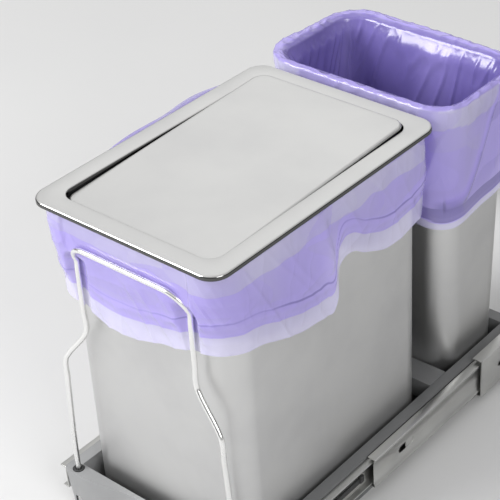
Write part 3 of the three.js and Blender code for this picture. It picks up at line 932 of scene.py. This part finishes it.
# ------------------------------------------------------------------ liners
@dataclass
class Liner:
    """A film bag hung in a bin, folded over its rim into a skirt.

    The flat film is a grid: its columns run round the bag from the middle of the rear side, and its
    rows run from the skirt's hem over the rim to the middle of the bag's bottom.
    """

    finishes: Finishes
    name: str
    node: str
    bin_node: str
    body: str
    columns: int
    rows: int
    flat: tuple[float, float]
    seed: float
    skirt_share: float = 0.62
    rim_share: float = 0.06
    pale_hem: float = 19 * MM
    cord_band: float = 15 * MM
    cuff: float = 20 * MM
    wall_share: float = 0.86
    band_layers: float = 2.2
    field_layers: float = 1.9
    # Layers of film inside the bag: partly the film's own thicknesses, partly painted shade inside the bin.
    inside_layers_and_shade: float = 2.4

    def outer(self, z: float) -> Hoop:
        """The skirt's hoop at a height."""
        raise NotImplementedError

    def inner(self, z: float) -> Hoop:
        """The bag's hoop inside the bin at a height."""
        raise NotImplementedError

    def hem_height(self, along: float) -> float:
        """The height of the hem at a distance along the rim, from the front right corner."""
        raise NotImplementedError

    def swell(self, along: float, up: float, z: float) -> float:
        """How far the skirt stands off its hoop, up being 0 at the hem and 1 at the rim."""
        raise NotImplementedError

    def lift(self, along: float, over: float, ruffle: float) -> float:
        """How high the film rides over the rim, over being 0 outside and 1 inside."""
        raise NotImplementedError

    def slack(self, along: float, z: float) -> float:
        """How far the bag stands in from its hoop inside the bin."""
        raise NotImplementedError

    def cleared(self, point: Vector) -> Vector:
        """The point, pushed back from anything that lies against the skirt."""
        return point

    def gather(self, along: float, above_hem: float) -> float:
        """The extra thicknesses of film where the skirt is gathered into a fold."""
        return 0.0

    def build(self) -> None:
        """Bends the flat film into the bag."""
        low, high = box_of(self.bin_node)
        self.rim_z = high.z + 0.55 * MM
        self.floor_z = low.z + 2.4 * MM
        bm = bmesh.new()
        bmesh.ops.create_grid(bm, x_segments=self.columns, y_segments=self.rows, size=0.5)
        layers = bm.verts.layers.float.new("layers")
        for vert in bm.verts:
            round_it, along_it = vert.co.x + 0.5, vert.co.y + 0.5
            vert.co, vert[layers] = self._bend(round_it, along_it)
        bmesh.ops.remove_doubles(bm, verts=bm.verts[:], dist=0.01 * MM)
        bmesh.ops.recalc_face_normals(bm, faces=bm.faces[:])
        film = self.finishes[Slot.LINER_FILM]
        piece = settle(bm, self.name, film, self.body, [self.node], crease=180)

    def _walk(self, hoop: Hoop, share: float) -> tuple[Vector, Vector, float]:
        """A place round a hoop.

        Args:
            hoop: the hoop that is walked.
            share: 0 and 1 at the middle of the rear side, anticlockwise from above.

        Returns:
            The point, the direction out of the hoop, and the distance from the front right corner
            along the rim, to the rear on the right-hand side and negative along the front.
        """
        ref = self.outer(self.rim_z)
        arc = ref.radius * math.pi / 2
        width, depth = 2 * (ref.half_x - ref.radius), ref.rear - ref.front - 2 * ref.radius
        lengths = [width / 2, arc, depth, arc, width, arc, depth, arc, width / 2]
        total = sum(lengths)
        walked = share * total
        corner_mid = width / 2 + arc + depth + arc + width + arc / 2
        along = corner_mid - walked
        if along > total / 2:
            along -= total
        along = -along
        corners = [(-1, 1), (-1, -1), (1, -1), (1, 1)]
        left = walked
        for index, length in enumerate(lengths):
            if left <= length or index == len(lengths) - 1:
                break
            left -= length
        part = min(max(left / length, 0.0), 1.0)
        if index % 2:
            start = math.atan2(1, 0) + (index // 2) * math.pi / 2
            turn = start + part * math.pi / 2
            out = Vector((math.cos(turn), math.sin(turn), 0))
            return hoop.point(Vector(corners[index // 2]), out), out, along
        side = index // 2
        out = Vector([(0, 1, 0), (-1, 0, 0), (0, -1, 0), (1, 0, 0), (0, 1, 0)][side])
        middle = Vector((0, hoop.rear, hoop.z))
        first = hoop.point(Vector(corners[side - 1]), out) if side > 0 else middle
        last = hoop.point(Vector(corners[side]), out) if side < 4 else middle
        return first.lerp(last, part), out, along

    def _bend(self, share: float, row: float) -> tuple[Vector, float]:
        """Bends one point of the flat film.

        Args:
            share: how far round the bag it is.
            row: how far it is from the hem to the middle of the bottom.

        Returns:
            Where it lies, and how many layers of film lie there, raised inside the bag as painted shade.
        """
        if row <= self.skirt_share:
            up = row / self.skirt_share
            _, _, along = self._walk(self.outer(self.rim_z), share)
            hem = self.hem_height(along)
            z = hem + (self.rim_z - hem) * up
            point, out, _ = self._walk(self.outer(z), share)
            return self.cleared(point + out * self.swell(along, up, z)), self._layers(along, z - hem, up)
        over = (row - self.skirt_share) / self.rim_share
        edge, lip = self.outer(self.rim_z), self.inner(self.rim_z)
        if over <= 1:
            point, out, along = self._walk(edge.toward(lip, over), share)
            ruffle = self.swell(along, 1, self.rim_z) * (1 - over)
            tone = self.field_layers + (self.inside_layers_and_shade - self.field_layers) * ease((over - 0.4) / 0.3)
            return point + out * ruffle + Vector((0, 0, self.lift(along, over, ruffle))), tone
        down = (row - self.skirt_share - self.rim_share) / (1 - self.skirt_share - self.rim_share)
        if down <= self.wall_share:
            z = self.rim_z + (self.floor_z - self.rim_z) * (down / self.wall_share)
            point, out, along = self._walk(self.inner(z), share)
            # Painted shade inside the bin, given as extra layers of film.
            deeper = self.inside_layers_and_shade + 0.5 * drift(along * 18, z * 6, self.seed)
            return point - out * self.slack(along, z), deeper
        inward = (down - self.wall_share) / (1 - self.wall_share)
        floor = self.inner(self.floor_z)
        point, out, along = self._walk(floor, share)
        point -= out * self.slack(along, self.floor_z)
        spine = Vector((0, min(max(point.y, floor.front + 0.04), floor.rear - 0.04), self.floor_z))
        point = point.lerp(spine, inward)
        point.z += 1.2 * MM * (1 + noise.noise(point * 60)) * math.sin(inward * math.pi)
        return point, self.inside_layers_and_shade

    def _layers(self, along: float, above_hem: float, up: float) -> float:
        """The thicknesses of film above the hem: one, the folded band round the cord, then the field.

        Args:
            along: the place round the rim.
            above_hem: the height over the hem.
            up: that height as a share of the way to the rim.

        Returns:
            How many layers of film seem to lie together.
        """
        over = above_hem - self.pale_hem - 3 * MM * drift(along * 14, self.seed, 0)
        pale = ease(over / (1.0 * MM))
        past = ease((over - self.cord_band) / (2 * MM))
        edge = 0.25 * bell(over - 1 * MM, 1.2 * MM)
        cord = (0.75 + 0.9 * drift(along * 12, 9, self.seed)) * bell(over - self.cord_band, 1.1 * MM)
        cell = noise.cell(
            Vector((along * 26 + 0.4 * math.sin(above_hem * 90), above_hem * 24 + 7, self.seed))
        )
        patch = 0.22 * cell + 0.3 * drift(along * 20, above_hem * 16, self.seed)
        jag = 4 * MM * drift(along * 50, 5, self.seed)
        below_rim = above_hem * (1 - up) / max(up, 0.01)
        cuff = ease((self.cuff - below_rim + jag) / (1 * MM)) if up > 0.5 else 0.0
        field_tone = self.field_layers + patch - 0.55 * cuff
        own = self.gather(along, above_hem)
        return 1 + pale * (self.band_layers - 1) * (1 - past) + past * (field_tone - 1) + edge + cord + own


@dataclass
class FrontLiner(Liner):
    """The liner of the front bin, its skirt hanging below the lid."""

    wire_half: float = 64.6 * MM
    wire_top: float = 314 * MM
    wire_thick: float = 5.6 * MM
    wire_lean: float = 8.3 * MM
    bulges: tuple[tuple[float, float, float], ...] = ((-0.322, 0.052, 12 * MM), (-0.404, 0.042, 14 * MM))
    hem: tuple[tuple[float, float], ...] = field(
        default=(
            (-0.430, 0.098), (-0.330, 0.106), (-0.235, 0.094), (-0.176, 0.098), (-0.123, 0.111),
            (-0.063, 0.100), (-0.005, 0.088), (0.025, 0.091), (0.088, 0.111), (0.123, 0.114),
            (0.131, 0.112), (0.142, 0.072), (0.160, 0.066), (0.180, 0.078), (0.209, 0.089),
            (0.239, 0.090), (0.273, 0.083), (0.330, 0.092), (0.430, 0.098),
        )
    )

    def outer(self, z: float) -> Hoop:
        """The skirt's hoop: over the flange near the rim and drawn in below it."""
        low, high = box_of("front_bin")
        rim = Hoop(high.x + 1.2 * MM, low.y - 1.0 * MM, high.y + 1.0 * MM, 27 * MM, z)
        foot = Hoop(high.x - 1.6 * MM, low.y + 8.6 * MM, high.y - 2.4 * MM, 27 * MM, z)
        return rim.toward(foot, ease((high.z - 12 * MM - z) / (75 * MM)))

    def inner(self, z: float) -> Hoop:
        """The bag's hoop just inside the bin's wall."""
        low, high = box_of("front_bin")
        collar = Hoop(high.x - 6.4 * MM, low.y + 7 * MM, high.y - 7 * MM, 25 * MM, z)
        body = Hoop(high.x - 8.4 * MM, low.y + 17.4 * MM, high.y - 9 * MM, 24 * MM, z)
        made = collar.toward(body, ease((0.311 - z) / (12 * MM)))
        return made.inset(8 * MM * ease((0.014 - z) / (9 * MM)))

    def hem_height(self, along: float) -> float:
        """The hem's height, from how far it hangs below the lid at places along the rim."""
        top = box_of("lid_trim")[1].z
        ripple = 1.2 * MM * drift(along * 40, self.seed, 3)
        return top - curve_through(self.hem, along) + ripple

    def swell(self, along: float, up: float, z: float) -> float:
        """Slow billows that grow towards the hem, a pleat at the notch, creases and two side bulges."""
        low = 1 - up
        billow = 2.2 * MM * (1 + drift(along * 9, z * 7, self.seed)) * low**0.7
        crease = crumple((along + 0.55 * z) * 30, z * 8, self.seed + 4, 6)
        cross = crumple(along * 9, (z - 0.25 * along) * 42, self.seed + 6, 6)
        fan = bell(along + 0.022, 0.030) * max(math.sin((along + 0.45 * z) * 620), 0)
        fan *= math.sin(up * math.pi) ** 1.5
        pleat = bell(along - 0.133 + 0.16 * (z - 0.26), 0.0065) * low**0.4
        over_hem = z - self.hem_height(along)
        cord = 1.1 * MM * bell(over_hem - 0.030, 0.005) * (1 - ease((up - 0.7) / 0.2))
        bulges = sum(size * bell(along - place, width) for place, width, size in self.bulges)
        side = bulges * (0.35 + 0.65 * up)
        folds = 1.5 * MM * crease * low**0.3 + 0.8 * MM * cross * math.sin(up * math.pi)
        return 0.3 * MM + billow + folds + 0.9 * MM * fan + 4.2 * MM * pleat + cord + side

    def cleared(self, point: Vector) -> Vector:
        """The wire pull presses the skirt back where it stands against it."""
        front = box_of("wire_handle")[0].y + self.wire_thick
        aside = max(abs(point.x) - self.wire_half - 4 * MM, 0.0)
        near = ease(1.3 * max(1 - abs(abs(point.x) - self.wire_half) / (20 * MM), 0.0))
        below = ease((self.wire_top - 8 * MM - point.z) / (14 * MM))
        limit = front + self.wire_lean * near * below - 0.5 * aside
        return Vector((point.x, max(point.y, limit), point.z))

    def lift(self, along: float, over: float, ruffle: float) -> float:
        """The lid lies on this rim, so the film stays flat under it and drops outside."""
        return 0.1 * MM * math.sin(over * math.pi) - 0.3 * ruffle * (1 - over)

    def slack(self, along: float, z: float) -> float:
        """Soft upright folds inside the bin."""
        return 1.1 * MM * (1 + drift(along * 30, z * 5, self.seed))


@dataclass
class RearLiner(Liner):
    """The liner of the open rear bin."""

    swoop_start: float = 18 * MM
    swoop_run: float = 58 * MM
    loose: tuple[tuple[float, float, float], ...] = (
        (0.225, 0.085, 5 * MM), (-0.225, 0.035, 6 * MM), (0.31, 0.05, 3 * MM), (-0.31, 0.05, 3 * MM),
    )
    hem: tuple[tuple[float, float], ...] = field(
        default=((-0.31, 0.104), (-0.19, 0.098), (-0.10, 0.108), (0.0, 0.126), (0.030, 0.124),
                 (0.080, 0.117), (0.14, 0.100), (0.22, 0.100), (0.31, 0.104))
    )

    def outer(self, z: float) -> Hoop:
        """The skirt's hoop, close to the bin's own taper."""
        low, high = box_of("rear_bin")
        rim = Hoop(high.x + 0.9 * MM, low.y - 0.9 * MM, high.y + 0.9 * MM, 32 * MM, z)
        return rim.inset(2.2 * MM * ease((high.z - z) / (110 * MM)))

    def inner(self, z: float) -> Hoop:
        """The bag's hoop just inside the bin's wall."""
        low, high = box_of("rear_bin")
        down = high.z - z
        made = Hoop(
            high.x - 7.1 * MM - 0.0095 * down, low.y + 7.1 * MM + 0.0315 * down,
            high.y - 7.1 * MM - 0.0315 * down, 25.5 * MM, z,
        )
        return made.inset(9 * MM * ease((0.016 - z) / (10 * MM)))

    def hem_height(self, along: float) -> float:
        """The hem's height over the unit's underside."""
        top = box_of("lid_trim")[1].z
        ripple = 1.5 * MM * drift(along * 35, self.seed, 3)
        return top - curve_through(self.hem, along) + ripple

    def swell(self, along: float, up: float, z: float) -> float:
        """Ruffles and slack at the rim, billows and long slanting folds below it."""
        low = 1 - up
        billow = 2 * MM * (1 + drift(along * 11, z * 8, self.seed)) * low**0.6
        crease = 2.4 * MM * crumple((along - 0.9 * z) * 20, z * 8, self.seed + 2, 5) * low**0.4
        ruffle = crumple(along * 80, z * 60, self.seed + 9, 2)
        rim = (0.6 + 1.5 * ruffle) * MM * ease((up - 0.75) / 0.25)
        loose = sum(size * bell(along - place, width) for place, width, size in self.loose)
        side = loose * (0.3 + 0.7 * up)
        over_hem = z - self.hem_height(along)
        swoop = 2.2 * MM * bell(over_hem - self._swoop(along), 6 * MM) if 0 < along < 0.13 else 0.0
        return 0.3 * MM + billow + swoop + crease + rim + side

    def _swoop(self, along: float) -> float:
        """The height over the hem of the fold that sweeps up from the front right corner."""
        return 26 * MM + 95 * MM * (max(along - self.swoop_start, 0.0) / self.swoop_run) ** 1.5

    def gather(self, along: float, above_hem: float) -> float:
        """The fold gathers film below itself, most of all where it runs low."""
        if along < -0.02 or along > 0.14:
            return 0.0
        gap = above_hem - self._swoop(along)
        under = ease(-gap / (4 * MM)) * ease((above_hem - 12 * MM) / (3 * MM))
        dark = bell(gap, 6 * MM) + 0.5 * under
        fade = ease((along + 0.02) / 0.02) * (1 - ease((along - 0.07) / 0.07))
        return 0.9 * dark * fade

    def lift(self, along: float, over: float, ruffle: float) -> float:
        """Slack film puffs up over this open rim, with small ruffles along it."""
        crushed = crumple(along * 70, over * 2.2, self.seed + 3, 3)
        puff = 1.6 + 1.2 * drift(along * 25, 1, self.seed)
        arch = math.sin((0.15 + 0.85 * over) * math.pi)
        return arch * (puff + 1.6 * crushed) * MM + 0.2 * ruffle * (1 - over)

    def slack(self, along: float, z: float) -> float:
        """Deep soft folds that lean as they fall, with sharper creases near the rim."""
        top = self.rim_z - z
        fade = ease(top / (14 * MM))
        fold = 1 + drift((along + 0.2 * z) * 22, z * 5, self.seed)
        crease = crumple((along + 0.35 * z) * 55, z * 12, self.seed + 5, 6)
        upper = 1 - ease((top - 0.06) / 0.08)
        return fade * (3.4 * MM * fold + 2.4 * MM * crease * (0.3 + 0.7 * upper))


# ------------------------------------------------------------------ wire pull
@dataclass
class WirePull:
    """The bent wire that the unit is pulled by, its feet in the front moulding."""

    finishes: Finishes
    radius: float = 2.5 * MM
    grip_half: float = 64.6 * MM
    knee_low: float = 179 * MM
    knee_high: float = 219 * MM
    bend: float = 20 * MM
    lean: float = 8.3 * MM
    leg: tuple[tuple[float, float, float], ...] = (
        (0, 0, 0.05), (0, 0.3 * MM, 0.08), (2 * MM, 0.6 * MM, 0.125), (4 * MM, 0.6 * MM, 0.158),
    )

    def build(self) -> None:
        """Sweeps the wire and refines its grommets and nuts."""
        low, high = box_of("wire_handle")
        foot_low, foot_high = box_of("handle_grommet_right")
        self.foot = (foot_low + foot_high) / 2
        self.foot.z = low.z + 0.2 * MM
        self.top_z = high.z - self.radius
        self.top_y = low.y + self.radius
        half = self._half()
        route = [Vector((-p.x, p.y, p.z)) for p in half] + half[::-1]
        settle(
            self._sweep(route), "wire_pull", self.finishes[Slot.BRIGHT_WIRE], "frame",
            ["wire_handle"], crease=60,
        )
        for side in Side:
            grommet, nut = f"handle_grommet_{side.word}", f"handle_nut_{side.word}"
            refine(self.finishes, grommet, f"{grommet}_moulded", "frame", Slot.BLACK_PLASTIC, 0.5 * MM)
            refine(self.finishes, nut, f"{nut}_turned", "frame", Slot.ZINC_STEEL, 0.3 * MM)

    def _half(self) -> list[Vector]:
        """The centre line from the right-hand foot to the middle of the top bar."""
        foot, grip_y = self.foot, self.top_y + self.lean
        points = [foot.copy()]
        for in_by, back_by, z in self.leg:
            points.append(Vector((foot.x - in_by, foot.y + back_by, z)))
        low_x = foot.x - 5 * MM
        knee_steps = 6
        for step in range(knee_steps + 1):
            share = step / knee_steps
            sideways = 0.6 * share + 0.4 * ease(share)
            x = low_x + (self.grip_half - low_x) * sideways
            y = foot.y + 1 * MM + (grip_y - foot.y - 1 * MM) * share
            points.append(Vector((x, y, self.knee_low + (self.knee_high - self.knee_low) * share)))
        points += [Vector((self.grip_half, grip_y, z)) for z in (0.241, 0.265, 0.285)]
        bend_steps = 8
        for step in range(bend_steps + 1):
            turn = step / bend_steps * math.pi / 2
            points.append(
                Vector((
                    self.grip_half - self.bend * (1 - math.cos(turn)),
                    grip_y - self.lean * math.sin(turn),
                    self.top_z - self.bend * (1 - math.sin(turn)),
                ))
            )
        points.append(Vector((20 * MM, self.top_y, self.top_z)))
        return points

    def _sweep(self, route: Sequence[Vector]) -> bmesh.types.BMesh:
        """A round wire along a smooth line through the route, with closed ends."""
        curve = bpy.data.curves.new("wire_line", "CURVE")
        curve.dimensions = "3D"
        curve.bevel_depth = self.radius
        curve.bevel_resolution = 6
        curve.resolution_u = 6
        curve.use_fill_caps = True
        spline = curve.splines.new("BEZIER")
        spline.bezier_points.add(len(route) - 1)
        for knot, point in zip(spline.bezier_points, route):
            knot.co = point
            knot.handle_left_type = knot.handle_right_type = "AUTO"
        holder = bpy.data.objects.new("wire_line", curve)
        bpy.context.scene.collection.objects.link(holder)
        bm = bmesh.new()
        bm.from_mesh(holder.to_mesh())
        holder.to_mesh_clear()
        bpy.data.objects.remove(holder)
        bpy.data.curves.remove(curve)
        bmesh.ops.remove_doubles(bm, verts=bm.verts[:], dist=0.001 * MM)
        bmesh.ops.recalc_face_normals(bm, faces=bm.faces[:])
        return bm


# ------------------------------------------------------------------ sliding frame
@dataclass
class SlidingFrame:
    """The painted frame that the bins stand in: front moulding, rails, cross pieces and base pan."""

    finishes: Finishes
    moulding_round: float = 1.3 * MM
    fold_round: float = 0.5 * MM

    def build(self) -> None:
        """Refines the frame's pieces."""
        looks, zinc = self.finishes, Slot.ZINC_STEEL
        moulding = softened("front_beam", self.moulding_round, 3)
        settle(
            moulding, "front_moulding", self.finishes.moulding, "frame", ["front_beam"],
            crease=35,
        )
        for name in ("crossbar", "rear_beam", "side_rail_right", "side_rail_left"):
            refine(looks, name, f"{name}_folded", "frame", Slot.FRAME_PAINT, self.fold_round, 3)
        refine(looks, "base_pan", "pan_sheet", "frame", zinc, 0.3 * MM)
        for place in ("front", "rear"):
            for side in Side:
                screw = f"pan_screw_{place}_{side.word}"
                refine(looks, screw, f"{screw}_turned", "frame", zinc, 0.25 * MM)


# ------------------------------------------------------------------ slides
@dataclass
class Slides:
    """The two ball-bearing slides, each with three members, two ball cages and a release lever."""

    finishes: Finishes
    edge_round: float = 0.35 * MM
    cage_round: float = 0.12 * MM
    lip: float = 3.2 * MM
    lip_slope: float = 0.9 * MM
    web_depth: float = 1.2 * MM
    outer_skin: float = 1.6 * MM

    def build(self) -> None:
        """Refines every piece of both slides."""
        zinc = self.finishes[Slot.ZINC_STEEL]
        for side in Side:
            parts = {
                "cabinet_member": "cabinet_slides",
                "outer_ball_cage": f"outer_cage_{side.word}",
                "middle_member": f"middle_{side.word}",
                "inner_ball_cage": f"inner_cage_{side.word}",
                "drawer_member": "frame",
                "member_screw_front": "frame",
                "member_screw_rear": "frame",
            }
            for part, body in parts.items():
                node = f"{part}_{side.word}"
                rounded = softened(node, self.cage_round if "cage" in part else self.edge_round, 2)
                if part == "middle_member":
                    self._recess(rounded, side)
                settle(rounded, f"{node}_rolled", zinc, body, [node])
            lever = f"release_lever_{side.word}"
            body = f"lever_{side.word}"
            refine(self.finishes, lever, f"{lever}_moulded", body, Slot.BLACK_PLASTIC, 0.4 * MM)

    def _recess(self, bm: bmesh.types.BMesh, side: Side) -> None:
        """Sinks a member's web between its two rolled lips.

        Args:
            bm: the member's shape, which is changed.
            side: the side of the unit that it is on.
        """
        low, high = box_of(f"middle_member_{side.word}")
        middle, half = (low.z + high.z) / 2, (high.z - low.z) / 2 - self.lip
        outer = max(abs(low.x), abs(high.x))
        for reach in (half, half - self.lip_slope):
            for sign in (1, -1):
                bmesh.ops.bisect_plane(
                    bm, geom=bm.verts[:] + bm.edges[:] + bm.faces[:],
                    plane_co=(0, 0, middle + sign * reach), plane_no=(0, 0, 1),
                )
        for vert in bm.verts:
            if abs(vert.co.x) > outer - self.outer_skin:
                depth = ease((half - abs(vert.co.z - middle)) / self.lip_slope) * self.web_depth
                vert.co.x -= side.value * depth


# ------------------------------------------------------------------ studio
@dataclass
class Studio:
    """The camera, the pale floor and the soft lights."""

    azimuth: float = 40.36
    elevation: float = 33.47
    roll: float = -2.61
    distance: float = 1.2035
    aim: tuple[float, float] = (1.131, -0.4268)
    lens: float = 109.865
    shift: tuple[float, float] = (-0.09977, -0.02552)
    lights: tuple[tuple[str, tuple[float, float, float], float, float], ...] = (
        ("key", (-1.3, -2.1, 1.7), 1.5, 68),
        ("back", (-1.9, 2.1, 2.2), 2.4, 9),
        ("fill", (2.2, -0.9, 1.4), 1.2, 21),
    )
    sky_strength: float = 0.8
    sky: tuple[tuple[float, float], ...] = (
        (0.0, 0.2), (0.30, 0.12), (0.36, 0.4), (0.45, 0.74), (1.0, 0.80),
    )

    def build(self) -> None:
        """Sets the studio up."""
        self._camera()
        self._floor()
        self._sky()
        self._lights()

    def _camera(self) -> None:
        """Looks down on the lid's right-hand side, from the front right."""
        low, high = box_of("lid_trim")
        middle, half = (low + high) / 2, (high - low) / 2
        aim = Vector((middle.x + self.aim[0] * half.x, middle.y + self.aim[1] * half.y, high.z))
        turn, lift = math.radians(self.azimuth), math.radians(self.elevation)
        back = Vector((math.sin(turn) * math.cos(lift), -math.cos(turn) * math.cos(lift), math.sin(lift)))
        data = bpy.data.cameras.new("camera")
        data.lens = self.lens
        data.sensor_width = 36
        data.shift_x, data.shift_y = self.shift
        data.clip_start, data.clip_end = 0.05, 30
        camera = bpy.data.objects.new("camera", data)
        camera.location = aim + back * self.distance
        camera.rotation_mode = "QUATERNION"
        level = (-back).to_track_quat("-Z", "Y")
        tilt = Matrix.Rotation(math.radians(self.roll), 3, "Z").to_quaternion()
        camera.rotation_quaternion = level @ tilt
        bpy.context.scene.collection.objects.link(camera)
        bpy.context.scene.camera = camera
        bpy.context.scene.view_settings.view_transform = "Standard"

    def _floor(self) -> None:
        """A pale matt floor under the unit."""
        bm = bmesh.new()
        bmesh.ops.create_grid(bm, x_segments=1, y_segments=1, size=6)
        bmesh.ops.translate(bm, verts=bm.verts[:], vec=(0, 0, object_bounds()[0].z))
        mesh = bpy.data.meshes.new("floor")
        bm.to_mesh(mesh)
        bm.free()
        bench = Bench("floor_card")
        mottle = bench.cloud(3, 3)
        mesh.materials.append(
            bench.finish(
                Base_Color=bench.blend(mottle, (0.70, 0.70, 0.70), (0.74, 0.74, 0.735)), Roughness=0.85
            )
        )
        floor = bpy.data.objects.new("floor", mesh)
        bpy.context.scene.collection.objects.link(floor)
        floor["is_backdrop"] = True

    def _sky(self) -> None:
        """An even pale surround, darker near the horizon so that bright metal has something to show."""
        world = bpy.data.worlds.new("surround")
        bpy.context.scene.world = world
        bench = Bench("surround", world)
        place = Wire(bench, bench.node("ShaderNodeTexCoord").outputs["Generated"])
        split = bench.node("ShaderNodeSeparateXYZ", inputs={0: place})
        ramp = bench.node("ShaderNodeValToRGB", {"stops": self.sky}, {0: Wire(bench, split.outputs["Z"])})
        glow = {0: Wire(bench, ramp.outputs[0]), 1: self.sky_strength}
        back = bench.node("ShaderNodeBackground", inputs=glow)
        bench.node("ShaderNodeOutputWorld", inputs={0: Wire(bench, back.outputs[0])})

    def _lights(self) -> None:
        """A large key light at the front left, a weak one at the back left and a fill at the right."""
        for name, place, size, power in self.lights:
            self._softbox(name, place, size, power)

    @staticmethod
    def _softbox(name: str, place: tuple[float, float, float], size: float, power: float) -> None:
        """A square area light that faces the unit.

        Args:
            name: the light's name.
            place: where it hangs.
            size: its side.
            power: its power in watts.
        """
        data = bpy.data.lights.new(name, "AREA")
        data.size = size
        data.energy = power
        light = bpy.data.objects.new(name, data)
        light.location = place
        light.rotation_mode = "QUATERNION"
        light.rotation_quaternion = (Vector((0, -0.2, 0.2)) - Vector(place)).to_track_quat("-Z", "Y")
        bpy.context.scene.collection.objects.link(light)


def main() -> None:
    """Builds the studio and every sub-assembly."""
    logging.basicConfig(level=logging.INFO, format="%(name)s %(message)s")
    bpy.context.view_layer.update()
    Studio().build()
    finishes = Finishes()
    Lid(finishes).build()
    FrontBin(finishes).build()
    RearBin(finishes).build()
    FrontLiner(
        finishes, "front_bag", "front_liner", "front_bin", "front_bin",
        columns=676, rows=144, flat=(0.92, 0.53), seed=2.7, skirt_share=0.74, rim_share=0.05,
    ).build()
    RearLiner(
        finishes, "rear_bag", "rear_liner", "rear_bin", "rear_bin",
        columns=560, rows=170, flat=(0.62, 0.48), seed=8.1, skirt_share=0.36, rim_share=0.09,
        pale_hem=7 * MM, cord_band=13 * MM, band_layers=3.0, field_layers=1.9, inside_layers_and_shade=2.9,
    ).build()
    WirePull(finishes).build()
    SlidingFrame(finishes).build()
    Slides(finishes).build()


if __name__ == "__main__":
    main()
